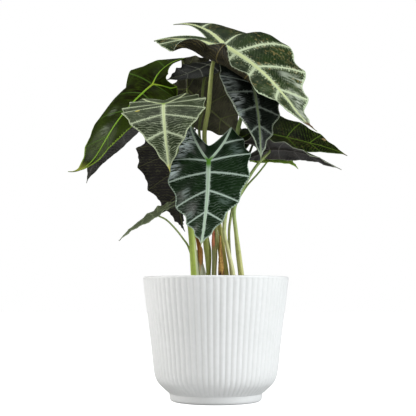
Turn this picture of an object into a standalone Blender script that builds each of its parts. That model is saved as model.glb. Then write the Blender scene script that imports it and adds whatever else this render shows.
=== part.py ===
"""Potted alocasia: thirteen arrow-shaped leaves on their stalks, in soil, in a fluted ceramic cover pot.

The origin is the centre of the pot's underside. X points right, Y away from the front, Z up.
The tables are in millimetres and degrees, and every mesh is made in metres.
"""

import math

import bmesh
import bpy
import numpy as np

MM = 0.001
GAP = 0.3

# Pot
POT_HEIGHT = 117.0
FLUTES = 72
FLUTE_DEPTH = 1.0
WALL = 3.4
FOOT_HEIGHT = 8.0
POT_SIDE = [  # height, radius of the flutes' crests, from the foot to the lip
    (FOOT_HEIGHT, 45.4),
    (12.7, 50.6),
    (18.0, 55.6),
    (27.0, 58.9),
    (54.0, 62.0),
    (93.0, 67.2),
    (113.5, 69.7),
]
POT_LIP = [(115.6, 70.0), (POT_HEIGHT, 69.2), (POT_HEIGHT, 67.2)]
POT_INSIDE = [(115.4, 66.4), (93.0, 63.8), (54.0, 58.6), (27.0, 55.5), (18.0, 51.8), (9.0, 42.0)]
POT_FLOOR = 6.0

# Soil
SOIL_TOP = 104.0
SOIL_CROWN = 3.0
STALK_DEPTH = 10.0

# Blade: one half of the flat outline, in lengths from the stalk to the tip
VEIN_STARTS = (1.0, 0.92, 0.79, 0.57, 0.32, 0.12, 0.0)
MARGIN = [
    (1.0, 0.0),
    (0.935, 0.022),
    (0.855, 0.090),
    (0.690, 0.220),
    (0.450, 0.390),
    (0.170, 0.505),
    (-0.105, 0.520),
    (-0.340, 0.430),
    (-0.520, 0.270),
]
STALK_LINE = 6
LOBE_TIP_LINE = 8
LOBE_BRANCH = 0.5
LOBE_RIB_BOW = 0.035
NOTCH = (-0.17, 0.0)
NOTCH_PULL = (-0.23, 0.085)
SCALLOP = 0.030
WAVE = 0.014
QUILT = 0.008
HALF_WIDTH = 0.5
BLADE_THICK = 0.8
RIB_THICK = 2.3
BLADE_ROWS = (0.0, 0.34, 0.7, 1.0)

# Each half of a blade has its fold and its curl at the lobe, at the stalk and at the tip. The first
# half is the one on the right when the blade hangs tip down and its upper face is seen.
LEAVES = {
    "top": dict(
        stalk_end=(8, -12, 342), tip=(97, -56, 248), faces=(24, 55),
        droop=37, tip_droop=-32, lobe_droop=42, twist=-17, sway=-0.07,
        width=(1.20, 0.77), lobe=(1.46, 0.95), scallop=0.042,
        fold=((4, 16, -7), (-2, -46, 0)), curl=((-26, -27, 18), (-20, 340, 130)),
        green=(0.030, 0.075, 0.040), underside=(0.045, 0.022, 0.018),
    ),
    "left": dict(
        stalk_end=(-61, -18, 302), tip=(-131, -48, 214), faces=(-54, 41),
        droop=40, tip_droop=-86, lobe_droop=55, twist=3, sway=-0.12,
        width=(0.46, 0.99), lobe=(0.35, 0.95),
        fold=((-75, -42, -6), (15, 11, 18)), curl=((-10, 28, 17), (-8, -32, -75)),
        green=(0.022, 0.060, 0.012), underside=(0.030, 0.020, 0.024),
    ),
    "left_back": dict(
        stalk_end=(-77, 34, 283), tip=(-129, 56, 214), faces=(-126, 44),
        droop=78, tip_droop=-6, lobe_droop=20, twist=12, sway=0.06,
        width=(0.5, 0.92), lobe=(0.4, 0.4),
        fold=((0, 0, 1), (0, 14, 3)), curl=((-12, -12, -12), (-12, 12, -4)),
        green=(0.020, 0.050, 0.020), underside=(0.030, 0.022, 0.030),
    ),
    "left_front": dict(
        stalk_end=(-48, -60, 274), tip=(-41, -104, 204), faces=(0, -14),
        droop=68, tip_droop=31, lobe_droop=-20, twist=-4, sway=0.01,
        width=(0.82, 0.83), lobe=(0.7, 0.68),
        fold=((1, -5, 6), (3, -4, 13)), curl=((-12, -21, -12), (-11, -17, -9)),
        green=(0.050, 0.090, 0.045), underside=(0.040, 0.025, 0.025),
    ),
    "front": dict(
        stalk_end=(-7, -45, 223), tip=(-12, -80, 142), faces=(-11, 12),
        droop=-32, tip_droop=7, lobe_droop=22, twist=0, sway=-0.02,
        width=(0.85, 0.94), lobe=(0.76, 0.93), scallop=0.046,
        fold=((-11, -4, -13), (-24, -13, -19)), curl=((-13, -8, -15), (-13, -10, -23)),
        green=(0.015, 0.050, 0.035), underside=(0.030, 0.020, 0.024),
    ),
    "centre_right": dict(
        stalk_end=(35, -30, 300), tip=(43, -43, 224), faces=(22, 17),
        droop=23, tip_droop=-5, lobe_droop=63, twist=-13, sway=-0.02,
        width=(0.72, 0.78), lobe=(1.0, 1.07), scallop=0.034,
        fold=((0, 9, 7), (-1, -3, 16)), curl=((-12, -12, -12), (-13, -14, -13)),
        green=(0.008, 0.022, 0.015), underside=(0.030, 0.020, 0.024),
    ),
    "right": dict(
        stalk_end=(42, 27, 264), tip=(133, 29, 239), faces=(10, 56),
        droop=8, tip_droop=11, lobe_droop=20, twist=2, sway=0.02,
        width=(1.06, 0.93), lobe=(0.35, 0.6),
        fold=((-20, 8, 2), (-10, 18, -1)), curl=((-12, -14, -6), (-12, -1, -11)),
        green=(0.018, 0.050, 0.010), underside=(0.030, 0.022, 0.026),
    ),
    "right_low": dict(
        stalk_end=(52, -8, 241), tip=(121, -13, 220), faces=(175, 75),
        droop=47, tip_droop=-14, lobe_droop=19, twist=13, sway=0.02,
        width=(0.75, 0.77), lobe=(0.63, 0.68),
        fold=((3, 5, -16), (7, -6, -23)), curl=((-14, -15, -11), (-13, -24, -14)),
        green=(0.020, 0.050, 0.020), underside=(0.045, 0.032, 0.042),
    ),
    "small_right": dict(
        stalk_end=(54, 38, 240), tip=(84, 34, 227), faces=(26, 51),
        droop=39, tip_droop=16, lobe_droop=20, twist=-5, sway=-0.0,
        width=(1.01, 0.98), lobe=(1.0, 1.0),
        fold=((0, 0, 4), (4, 4, 9)), curl=((-12, -12, -12), (-11, -11, -11)),
        green=(0.060, 0.140, 0.015), underside=(0.030, 0.030, 0.020),
    ),
    "back_low": dict(
        stalk_end=(-38, 32, 254), tip=(-27, 58, 165), faces=(203, 1),
        droop=46, tip_droop=45, lobe_droop=-8, twist=-13, sway=0.05,
        width=(0.93, 0.45), lobe=(0.42, 0.35),
        fold=((-9, -4, -9), (0, 0, 0)), curl=((-16, -10, -15), (-12, -12, -12)),
        green=(0.020, 0.050, 0.020), underside=(0.020, 0.013, 0.018),
    ),
    "low_left": dict(
        stalk_end=(-56, -14, 178), tip=(-92, -17, 151), faces=(-60, 70),
        droop=27, tip_droop=7, lobe_droop=-3, twist=1, sway=0.02,
        width=(1.03, 0.96), lobe=(0.75, 0.95),
        fold=((7, 2, -15), (14, 7, -10)), curl=((-11, -11, -11), (-10, -9, -12)),
        green=(0.050, 0.075, 0.040), underside=(0.060, 0.070, 0.045),
    ),
    "back": dict(
        stalk_end=(-29, 55, 314), tip=(31, 50, 258), faces=(174, 8),
        droop=16, tip_droop=6, lobe_droop=10, twist=0, sway=0,
        width=(0.75, 0.88), lobe=(0.6, 0.6),
        fold=((0, 0, -6), (0, 0, -6)), curl=((-8, -8, -8), (-8, -8, -8)),
        green=(0.020, 0.045, 0.015), underside=(0.030, 0.024, 0.014),
    ),
    "back_top": dict(
        stalk_end=(-2, 21, 334), tip=(-48, 6, 312), faces=(-17, 65),
        droop=-14, tip_droop=2, lobe_droop=20, twist=-22, sway=-0.01,
        width=(1.0, 1.03), lobe=(0.45, 0.45),
        fold=((0, 0, 0), (-4, -4, 22)), curl=((-12, -12, -12), (-14, -14, -14)),
        green=(0.012, 0.022, 0.012), underside=(0.025, 0.022, 0.024),
    ),
}

# Stalks: points of the route from the soil up, then the radius at each
STALKS = {
    "top": (
        [(13, -3, 94), (10, -3, 120), (7, -3, 143), (4, -3, 164), (-5, -4, 211), (-11, -5, 252),
         (-7, -6, 281), (-5, -9, 305), (-2, -11, 326)],
        (2.6, 2.5, 2.3, 2.1, 2.1, 2.2, 2.3, 2.1, 1.8, 1.3),
    ),
    "left": (
        [(-18, -3, 94), (-20, -4, 119), (-24, -8, 164), (-31, -8, 200), (-43, -4, 250), (-52, 1, 285),
         (-56, -8, 296)],
        (4.3, 4.0, 3.0, 2.4, 2.0, 1.7, 1.5, 1.1),
    ),
    "left_back": (
        [(-1, 8, 94), (-1, 8, 120), (-1, 9, 153), (-14, 9, 195), (-37, 6, 240), (-60, 8, 270)],
        (1.9, 1.8, 1.6, 1.5, 1.4, 1.3, 1.0),
    ),
    "left_front": (
        [(-7, -7, 94), (-7, -7, 121), (-8, -8, 143), (-14, -8, 173), (-28, -4, 219), (-42, -20, 251)],
        (2.0, 2.2, 3.6, 2.4, 2.0, 1.6, 1.1),
    ),
    "front": (
        [(-2, -10, 94), (-1.5, -10, 121), (-0.5, -10, 143), (0, -11, 166), (-1, -18, 197),
         (-6, -34, 217)],
        (2.2, 2.1, 1.9, 1.7, 1.6, 1.4, 1.1),
    ),
    "centre_right": (
        [(18, -7, 94), (16, -7, 121), (11, -8, 145), (8, -9, 164), (13, -9, 200), (18, -11, 236),
         (22, -14, 261), (29, -20, 283)],
        (2.6, 2.4, 1.8, 1.9, 1.9, 2.0, 2.1, 1.8, 1.1),
    ),
    "right": (
        [(18, 5, 94), (15, 5, 120), (13, 4, 153), (14, 5, 171), (20, 9, 200), (31, 16, 233)],
        (1.8, 1.6, 1.3, 1.3, 1.3, 1.3, 1.0),
    ),
    "right_low": (
        [(29, -2, 94), (25, -2, 120), (22, -2, 143), (19, -3, 164), (18, -4, 184), (26, -7, 202),
         (36, -11, 219), (45, -14, 230)],
        (2.3, 2.1, 2.0, 1.9, 1.8, 1.6, 1.5, 1.4, 1.0),
    ),
    "small_right": (
        [(25, 9, 94), (23, 9, 120), (20, 9, 148), (19, 13, 183), (29, 22, 205), (43, 32, 222)],
        (1.3, 1.2, 1.1, 1.0, 1.0, 0.9, 0.8),
    ),
    "back_low": (
        [(-6, 12, 94), (-7, 12, 120), (-9, 12, 149), (-16, 14, 189), (-28, 20, 227)],
        (1.8, 1.6, 1.5, 1.4, 1.3, 1.0),
    ),
    "low_left": (
        [(-16, 6, 94), (-20, 3, 124), (-26, -1, 145), (-31, -6, 153), (-38, -9, 162), (-47, -12, 171)],
        (1.3, 1.2, 1.0, 0.9, 0.9, 0.85, 0.8),
    ),
    "back": (
        [(9, 15, 94), (7, 14, 120), (0, 16, 164), (-13, 16, 209), (-21, 16, 250), (-25, 21, 283)],
        (2.1, 1.9, 1.8, 1.7, 1.6, 1.5, 1.1),
    ),
    "back_top": (
        [(12, 5, 94), (10, 5, 120), (3, 6, 165), (-8, 5, 212), (-16, 4, 257), (-14, 6, 280),
         (-12, 11, 309), (-8, 15, 323)],
        (1.7, 1.5, 1.4, 1.3, 1.3, 1.4, 1.4, 1.2, 1.0),
    ),
}
STALK_SIDES = 8
STALK_RINGS = 11
STALK_GREEN = (0.20, 0.28, 0.07)
# How far a stalk's end stays below its blade's rib, in end radii
END_CLEAR = 1.1
END_CLEAR_STEEP = 0.35
STEEP_STALKS = ("front",)

# Old growth at the foot: name, route, half widths, half thickness, colour
FOOT_PIECES = {
    "rhizome": (
        [(5, -12, 94), (5, -12, 120), (4.5, -13, 138), (4, -14, 156)],
        (3.2, 3.1, 1.9, 0.7), 1.0, (0.060, 0.025, 0.012),
    ),
    "sheath_pale": (
        [(-12, 3, SOIL_TOP + 1), (-13, 3, 120), (-16, 2, 134), (-18, 1, 143)],
        (4.0, 3.9, 2.4, 0.8), 0.45, (0.40, 0.42, 0.28),
    ),
    "sheath_brown": (
        [(-12, -6, SOIL_TOP + 3), (-14, -5, 124), (-15, -4, 142), (-19, -3, 157)],
        (1.5, 1.9, 2.6, 1.0), 0.30, (0.25, 0.10, 0.03),
    ),
    "sheath_red": (
        [(-3.6, -12.7, SOIL_TOP + 4), (-2.6, -13.1, 130), (-2.6, -13.1, 150), (-2.2, -13.8, 161)],
        (1.0, 1.1, 1.5, 0.8), 0.45, (0.22, 0.05, 0.025),
    ),
}


def clear_scene():
    for obj in list(bpy.data.objects):
        bpy.data.objects.remove(obj, do_unlink=True)


def paint(name, colour, roughness, metallic=0.0):
    """A Principled material in one colour."""
    material = bpy.data.materials.new(name)
    material.use_nodes = True
    shader = material.node_tree.nodes["Principled BSDF"]
    shader.inputs["Base Color"].default_value = (*colour, 1.0)
    shader.inputs["Roughness"].default_value = roughness
    shader.inputs["Metallic"].default_value = metallic
    return material


def add_object(name, bm, material, origin=(0.0, 0.0, 0.0), parent=None):
    """Makes an object of a mesh in millimetres, with its origin at a point of the part."""
    bmesh.ops.translate(bm, vec=[-c for c in origin], verts=bm.verts)
    bmesh.ops.scale(bm, vec=(MM, MM, MM), verts=bm.verts)
    mesh = bpy.data.meshes.new(name)
    bm.to_mesh(mesh)
    bm.free()
    mesh.materials.append(material)
    mesh.shade_smooth()
    obj = bpy.data.objects.new(name, mesh)
    obj.location = [c * MM for c in origin]
    obj.parent = parent
    bpy.context.scene.collection.objects.link(obj)
    return obj


def smooth_path(points, count):
    """Points along a Catmull-Rom curve through the given points."""
    given = np.asarray(points, float)
    where = np.linspace(0, len(given) - 1, count)
    return catmull_rom(given, where)


def catmull_rom(given, where):
    last = len(given) - 1
    step = np.minimum(where.astype(int), last - 1)
    f = (where - step)[:, None]
    before = given[np.maximum(step - 1, 0)]
    start = given[step]
    end = given[step + 1]
    after = given[np.minimum(step + 2, last)]
    bend = 2 * before - 5 * start + 4 * end - after
    turn = 3 * start - before - 3 * end + after
    return 0.5 * (2 * start + (end - before) * f + bend * f**2 + turn * f**3)


def unit(vector):
    return vector / np.linalg.norm(vector)


def looking(azimuth, elevation):
    """Direction that faces the front at azimuth 0 and the right at 90."""
    a, e = math.radians(azimuth), math.radians(elevation)
    return np.array([math.sin(a) * math.cos(e), -math.cos(a) * math.cos(e), math.sin(e)])


class Blade:
    """A leaf blade: a flat outline bent along its midrib and across it."""

    def __init__(self, leaf):
        self.stalk_end = np.array(leaf["stalk_end"], float)
        self.width, self.lobe = leaf["width"], leaf["lobe"]
        self.scallop = leaf.get("scallop", SCALLOP)
        self.fold, self.curl = np.radians(leaf["fold"]), np.radians(leaf["curl"])
        self.twist, self.sway = math.radians(leaf["twist"]), leaf["sway"]
        self.bend_midrib(leaf)
        self.aim(np.array(leaf["tip"], float) - self.stalk_end, looking(*leaf["faces"]))

    def bend_midrib(self, leaf):
        """The midrib's side view, with the stalk at 0 and the tip at 1."""
        along = np.linspace(-0.8, 1.02, 365)
        near_tip = np.clip((along - 0.6) / 0.4, 0, None) ** 2
        droop = math.radians(leaf["droop"]) * along + math.radians(leaf["tip_droop"]) * near_tip
        down = np.where(along > 0, droop, math.radians(leaf["lobe_droop"]) * along)
        step = along[1] - along[0]
        forward, rise = np.cos(down), -np.sin(down)
        x = np.concatenate([[0], np.cumsum((forward[1:] + forward[:-1]) / 2) * step])
        z = np.concatenate([[0], np.cumsum((rise[1:] + rise[:-1]) / 2) * step])
        self.along, self.down = along, down
        self.x = x - np.interp(0, along, x)
        self.z = z - np.interp(0, along, z)

    def aim(self, chord, face):
        """Sets the length and the three directions so that the tip lies where it should."""
        tip_x, tip_z = np.interp(1, self.along, self.x), np.interp(1, self.along, self.z)
        self.length = np.linalg.norm(chord) / math.hypot(tip_x, tip_z)
        line = unit(chord)
        up = unit(face - (face @ line) * line)
        lean = math.atan2(tip_z, tip_x)
        self.across = np.cross(up, line)
        self.ahead = line * math.cos(lean) - up * math.sin(lean)
        self.up = line * math.sin(lean) + up * math.cos(lean)

    def mixed(self, values, side, s):
        """A fold or a curl at s along the midrib, from its values at lobe, stalk and tip."""
        at_lobe, at_stalk, at_tip = values[side]
        toward_tip, toward_lobe = np.clip(s, 0, 1), np.clip(-s / 0.12, 0, 1)
        ahead = at_stalk * (1 - toward_tip) + at_tip * toward_tip
        return ahead * (1 - toward_lobe) + at_lobe * toward_lobe

    def place(self, side, s, t, lift):
        """Points in space for flat points: s along the midrib, t across it, lift off the face."""
        down = np.interp(s, self.along, self.down)
        x, z = np.interp(s, self.along, self.x), np.interp(s, self.along, self.z)
        fold, curl = self.mixed(self.fold, side, s), self.mixed(self.curl, side, s)
        parts = 8
        out, rise = np.zeros_like(t), np.array(lift, float)
        for k in range(parts):
            slope = fold + curl * (t / HALF_WIDTH * (k + 0.5) / parts) ** 2
            out += np.cos(slope) * t / parts
            rise += np.sin(slope) * t / parts
        if side == 1:
            out = -out
        out += self.sway * np.clip(s, 0, None) ** 2
        normal = self.up * np.cos(down)[..., None] + self.ahead * np.sin(down)[..., None]
        cos_t, sin_t = np.cos(self.twist * s)[..., None], np.sin(self.twist * s)[..., None]
        across = cos_t * self.across + sin_t * normal
        normal = cos_t * normal - sin_t * self.across
        centre = self.ahead * x[..., None] + self.up * z[..., None]
        offset = centre + across * out[..., None] + normal * rise[..., None]
        return self.stalk_end + self.length * offset

    def lobe_rib(self, side, share):
        """Flat point of the rib that runs from the stalk into a lobe."""
        tip = np.array(MARGIN[-1]) * (self.lobe[side], self.width[side])
        bow = (4 * share * (1 - share))[:, None] * np.array([0.0, LOBE_RIB_BOW])
        return share[:, None] * tip + bow

    def outer_lines(self, side, lines):
        """Start on the midrib or lobe rib, and end on the margin, of each line."""
        start = np.zeros((len(lines), 2))
        start[:, 0] = np.interp(lines, range(STALK_LINE + 1), VEIN_STARTS)
        on_lobe = lines > STALK_LINE
        share = np.interp(lines, (STALK_LINE, STALK_LINE + 1, LOBE_TIP_LINE), (0, LOBE_BRANCH, 1))
        start[on_lobe] = self.lobe_rib(side, share[on_lobe])
        knots = np.array([(s * self.lobe[side] if s < 0 else s, t * self.width[side]) for s, t in MARGIN])
        end = catmull_rom(knots, lines)
        dip = self.scallop * np.sin(np.pi * lines) ** 2 * np.interp(lines, (0, 2, 3, 7, 7.5, 8), (0, 0.2, 1, 0.8, 0.2, 0))
        way = start - end
        way /= np.maximum(np.linalg.norm(way, axis=1), 1e-9)[:, None]
        return start, end + way * dip[:, None]

    def inner_lines(self, side, shares):
        """Start on the lobe rib, and end on the notch's margin, of each line."""
        scale = (self.lobe[side], self.width[side])
        pull, tip = np.array(NOTCH_PULL) * scale, np.array(MARGIN[-1]) * scale
        f = shares[:, None]
        end = (1 - f) ** 2 * np.array(NOTCH) + 2 * f * (1 - f) * pull + f**2 * tip
        return self.lobe_rib(side, shares), end

    def outer_grid(self, side, lines, rows):
        start, end = self.outer_lines(side, lines)
        width = np.linalg.norm(end - start, axis=1)[:, None]
        bow = np.interp(lines, (0, 2, 7, 8), (0, 1, 1, 0))[:, None] * np.sin(np.pi * rows)
        s = start[:, :1] * (1 - rows) + end[:, :1] * rows - 0.06 * width * bow
        t = start[:, 1:] * (1 - rows) + end[:, 1:] * rows
        ends = np.interp(lines, (0, 2, 3, 7.3, 8), (0, 0.2, 1, 1, 0))[:, None]
        at = lines[:, None]
        ripple = np.cos(2 * np.pi * at) + 0.8 * np.sin(2 * np.pi * at / 2.7 + 2.1 * side)
        quilt = QUILT * np.sin(np.pi * at) ** 2 * np.sin(np.pi * rows)
        lift = ends * (WAVE * ripple * rows**2 + quilt)
        return self.place(side, s, np.maximum(t, 0), lift)

    def inner_grid(self, side, shares, rows):
        start, end = self.inner_lines(side, shares)
        s = start[:, :1] * (1 - rows) + end[:, :1] * rows
        t = start[:, 1:] * (1 - rows) + end[:, 1:] * rows
        lift = WAVE * np.sin(np.pi * shares)[:, None] * rows**2
        return self.place(side, s, np.maximum(t, 0), lift)

    def normal_at_stalk(self):
        return self.up


def thickness_share(lines, rows):
    """Thickness as a share of the rib's: full on the ribs, thin between them."""
    thin = BLADE_THICK / RIB_THICK
    on_rib = np.interp(lines, (0, 3, 6, 8), (0.1, 0.7, 1, 0.2))[:, None] * (rows == 0)
    on_vein = 0.22 * (np.abs(lines - np.round(lines)) < 0.01)[:, None] * (1 - rows)
    return np.clip(thin + (1 - thin) * np.maximum(on_rib, on_vein), 0, 1)


def add_grid(bm, points, shares, layer):
    """Quads of a grid of points, with each point's thickness share."""
    verts = [[bm.verts.new(p) for p in line] for line in points]
    for line, line_shares in zip(verts, shares):
        for vert, share in zip(line, line_shares):
            vert[layer][0] = float(share)
    for line, following in zip(verts, verts[1:]):
        for j in range(len(line) - 1):
            bm.faces.new((line[j], following[j], following[j + 1], line[j + 1]))


def make_blade(name, leaf, parent):
    """The blade's upper face as triangles, thickened downwards, so that both faces split alike."""
    blade = Blade(leaf)
    rows = np.array(BLADE_ROWS)
    bm = bmesh.new()
    layer = bm.verts.layers.deform.verify()
    for side in (0, 1):
        lines = np.arange(0, LOBE_TIP_LINE + 0.25, 0.5)
        add_grid(bm, blade.outer_grid(side, lines, rows), thickness_share(lines, rows), layer)
        lobe_lines = lines[lines >= STALK_LINE]
        shares = np.interp(lobe_lines, (STALK_LINE, STALK_LINE + 1, LOBE_TIP_LINE), (0, LOBE_BRANCH, 1))
        inner = blade.inner_grid(side, shares, rows)
        add_grid(bm, inner, thickness_share(lobe_lines, rows), layer)
    bmesh.ops.remove_doubles(bm, verts=bm.verts, dist=0.01)
    bmesh.ops.triangulate(bm, faces=bm.faces)
    bmesh.ops.recalc_face_normals(bm, faces=bm.faces)
    facing = sum((np.array(f.normal) * f.calc_area() for f in bm.faces), np.zeros(3))
    if facing @ blade.normal_at_stalk() < 0:
        bmesh.ops.reverse_faces(bm, faces=bm.faces)
    material = paint("green_" + name, leaf["green"], 0.35)
    obj = add_object("blade_" + name, bm, material, leaf["stalk_end"], parent)
    group = obj.vertex_groups.new(name="thickness")
    shell = obj.modifiers.new("thickness", "SOLIDIFY")
    shell.thickness = RIB_THICK * MM
    shell.offset = -1
    shell.vertex_group = group.name
    shell.use_rim = True
    obj.data.materials.append(paint("underside_" + name, leaf["underside"], 0.5))
    shell.material_offset = 1
    shell.material_offset_rim = 0
    return blade


def tube(points, radii, sides, flat=1.0, grow=0.0):
    """A closed round or flattened tube along a path, as a bmesh."""
    points, radii = np.asarray(points, float), np.asarray(radii, float)
    tangents = np.gradient(points, axis=0)
    across = np.array([1.0, 0.0, 0.0])
    bm = bmesh.new()
    rings = []
    for point, tangent, radius in zip(points, tangents, radii):
        forward = unit(tangent)
        across = unit(across - (across @ forward) * forward)
        other = np.cross(forward, across)
        ring = []
        for k in range(sides):
            turn = 2 * math.pi * k / sides
            wide, deep = radius + grow, radius * flat + grow
            corner = point + across * wide * math.cos(turn) + other * deep * math.sin(turn)
            ring.append(bm.verts.new(corner))
        rings.append(ring)
    for lower, upper in zip(rings, rings[1:]):
        for k in range(sides):
            n = (k + 1) % sides
            bm.faces.new((lower[k], lower[n], upper[n], upper[k]))
    bm.faces.new(rings[0][::-1])
    bm.faces.new(rings[-1])
    bmesh.ops.triangulate(bm, faces=bm.faces)
    return bm


def stalk_route(name, blade):
    """Route of a stalk, which ends just under its blade."""
    points, radii = STALKS[name]
    clear = END_CLEAR_STEEP if name in STEEP_STALKS else END_CLEAR
    under = RIB_THICK + GAP + clear * radii[-1]
    end = blade.stalk_end - blade.normal_at_stalk() * under
    return points + [tuple(end)], radii


def make_stalk(name, blade, parent):
    points, radii = stalk_route(name, blade)
    path = smooth_path(points, STALK_RINGS)
    widths = np.interp(np.linspace(0, len(radii) - 1, STALK_RINGS), range(len(radii)), radii)
    bm = tube(path, widths, STALK_SIDES)
    return add_object("stalk_" + name, bm, paint("stalk_" + name, STALK_GREEN, 0.45), points[0], parent)


def make_foot_piece(name, parent):
    points, widths, flat, colour = FOOT_PIECES[name]
    path = smooth_path(points, 7)
    half = np.interp(np.linspace(0, len(widths) - 1, 7), range(len(widths)), widths)
    return add_object(name, tube(path, half, 8, flat), paint(name, colour, 0.7), points[0], parent)


def ring_of(bm, count, height, radius, turn=0.0):
    """A ring of vertices, with one radius or with two in turn."""
    radii = radius if isinstance(radius, tuple) else (radius, radius)
    ring = []
    for k in range(count):
        angle = 2 * math.pi * (k + turn) / count
        r = radii[k % 2]
        ring.append(bm.verts.new((r * math.cos(angle), r * math.sin(angle), height)))
    return ring


def bridge(bm, lower, upper):
    """Faces between two rings, where one may have a whole number of points for each of the other's."""
    if len(lower) < len(upper):
        few, many = lower, upper
    else:
        few, many = upper, lower
    each = len(many) // len(few)
    for k in range(len(few)):
        here, beyond = few[k], few[(k + 1) % len(few)]
        run = [many[(k * each + j) % len(many)] for j in range(each + 1)]
        loop = [here, beyond] + run[::-1] if few is lower else run + [beyond, here]
        bm.faces.new(loop)


def make_pot():
    """The cover pot: fluted outside from foot to lip, smooth inside."""
    bm = bmesh.new()
    fine, coarse = 2 * FLUTES, FLUTES // 2
    rings = [ring_of(bm, coarse, 0.0, 41.0), ring_of(bm, coarse, 1.6, 43.8)]
    rings.append(ring_of(bm, coarse, FOOT_HEIGHT - 0.6, 44.3))
    for height, radius in POT_SIDE:
        rings.append(ring_of(bm, fine, height, (radius, radius - FLUTE_DEPTH)))
    for height, radius in POT_LIP:
        rings.append(ring_of(bm, FLUTES, height, radius))
    for height, radius in POT_INSIDE:
        rings.append(ring_of(bm, coarse, height, radius))
    rings.append(ring_of(bm, coarse, POT_FLOOR, 36.0))
    for lower, upper in zip(rings, rings[1:]):
        bridge(bm, lower, upper)
    bm.faces.new(rings[0][::-1])
    bm.faces.new(rings[-1])
    bmesh.ops.triangulate(bm, faces=bm.faces)
    bmesh.ops.recalc_face_normals(bm, faces=bm.faces)
    pot = add_object("pot", bm, paint("white_ceramic", (0.82, 0.84, 0.86), 0.4))
    pot.data.set_sharp_from_angle(angle=math.radians(35))
    return pot


def inside_radius(height):
    heights, radii = zip(*reversed(POT_INSIDE))
    return float(np.interp(height, heights, radii))


def make_soil(parent, routes):
    """Soil that fills the pot, with a plain hole for each stalk and for the rhizome."""
    bm = bmesh.new()
    count = 36
    rings = [ring_of(bm, count, POT_FLOOR + GAP, 35.0)]
    for height in (10.0, 18.0, 27.0, 54.0, 93.0, SOIL_TOP - SOIL_CROWN):
        rings.append(ring_of(bm, count, height, inside_radius(height) - GAP - 0.3))
    lumps = np.random.default_rng(7).normal(0, 0.5, (3, count))
    for row, (radius, rise) in enumerate(((52.0, 0.4), (36.0, 0.75), (20.0, 1.0))):
        ring = ring_of(bm, count, SOIL_TOP - SOIL_CROWN * (1 - rise), radius)
        for vert, lump in zip(ring, lumps[row]):
            vert.co.z += lump
        rings.append(ring)
    for lower, upper in zip(rings, rings[1:]):
        bridge(bm, lower, upper)
    bm.faces.new(rings[0][::-1])
    bm.faces.new(rings[-1])
    bmesh.ops.triangulate(bm, faces=bm.faces)
    soil = add_object("soil", bm, paint("soil", (0.030, 0.018, 0.011), 0.95), parent=parent)
    for name, (points, radii) in routes.items():
        base = np.array(points[0], float)
        way = np.array(points[1], float) - base
        drop = GAP / way[2]
        ends = [base - way * drop, base + way * 0.7]
        cutter = add_object("hole_" + name, tube(ends, (radii[0], radii[0]), STALK_SIDES, grow=GAP + 0.1),
                            soil.data.materials[0])
        cutter.hide_render = True
        cutter.display_type = "WIRE"
        hole = soil.modifiers.new("hole_" + name, "BOOLEAN")
        hole.operation = "DIFFERENCE"
        hole.object = cutter
    return soil


def main():
    clear_scene()
    pot = make_pot()
    plant = bpy.data.objects.new("plant", None)
    plant.parent = pot
    bpy.context.scene.collection.objects.link(plant)
    routes = {}
    for name, leaf in LEAVES.items():
        blade = make_blade(name, leaf, plant)
        make_stalk(name, blade, plant)
        routes[name] = STALKS[name]
    for name, (points, widths, flat, _) in FOOT_PIECES.items():
        make_foot_piece(name, plant)
        if points[0][2] < SOIL_TOP:
            routes[name] = (points, widths)
    make_soil(pot, routes)


main()
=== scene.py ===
"""Looks of the potted alocasia: veined leaves, stalks, soil and a fluted cover pot, in a plain studio.

The tables are in millimetres and degrees, in the frame of the CAD part. X points right, Y away from the
front, Z up.
"""

import math

import bmesh
import bpy
import numpy as np
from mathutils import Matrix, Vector


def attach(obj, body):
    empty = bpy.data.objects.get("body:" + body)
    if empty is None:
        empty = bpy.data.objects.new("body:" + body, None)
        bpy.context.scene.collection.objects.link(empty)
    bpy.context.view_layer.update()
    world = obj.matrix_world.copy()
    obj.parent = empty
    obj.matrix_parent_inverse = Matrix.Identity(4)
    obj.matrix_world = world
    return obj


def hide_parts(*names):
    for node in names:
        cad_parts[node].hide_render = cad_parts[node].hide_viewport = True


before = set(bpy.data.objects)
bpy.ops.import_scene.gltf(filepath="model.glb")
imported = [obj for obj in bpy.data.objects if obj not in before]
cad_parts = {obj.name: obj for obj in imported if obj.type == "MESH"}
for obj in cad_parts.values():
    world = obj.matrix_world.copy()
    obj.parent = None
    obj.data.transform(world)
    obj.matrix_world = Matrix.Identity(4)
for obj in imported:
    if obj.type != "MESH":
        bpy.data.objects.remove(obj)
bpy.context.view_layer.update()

MM = 0.001

# Pot: after the CAD part, with a rounder lip and flutes 0.25 mm shallower
POT_HEIGHT = 117.0
FLUTES = 72
FLUTE_DEPTH = 0.75
FLUTE_COLUMNS = 8
FOOT_HEIGHT = 8.0
POT_FOOT = [
    (0.0, 0.0), (0.0, 14.0), (0.0, 28.0), (0.0, 38.0), (0.0, 41.4), (0.3, 42.2), (0.9, 43.0), (1.8, 43.6),
    (3.0, 43.9), (5.0, 44.2), (7.0, 44.4), (7.6, 44.5),
]
POT_SIDE = [
    (FOOT_HEIGHT, 45.4), (12.7, 50.6), (18.0, 55.6), (27.0, 58.9), (54.0, 62.0), (93.0, 67.2), (115.0, 69.8),
]
POT_SIDE_HEIGHTS = np.array([
    8.0, 8.3, 8.8, 9.6, 10.8, 12.2, 13.8, 15.6, 17.6, 20.0, 23.0, 27.0, 32.0, 40.0, 50.0, 60.0, 70.0, 80.0,
    90.0, 100.0, 106.0, 110.0, 112.0, 113.4, 114.2, 114.6, 115.0,
])
POT_LIP = [(116.0, 69.8), (116.6, 69.4), (POT_HEIGHT, 68.6), (116.7, 67.6), (116.0, 66.8)]
POT_INSIDE = [(114.6, 66.4), (93.0, 63.8), (54.0, 58.6), (27.0, 55.5), (18.0, 51.8), (9.0, 42.0), (6.0, 36.0)]
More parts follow.
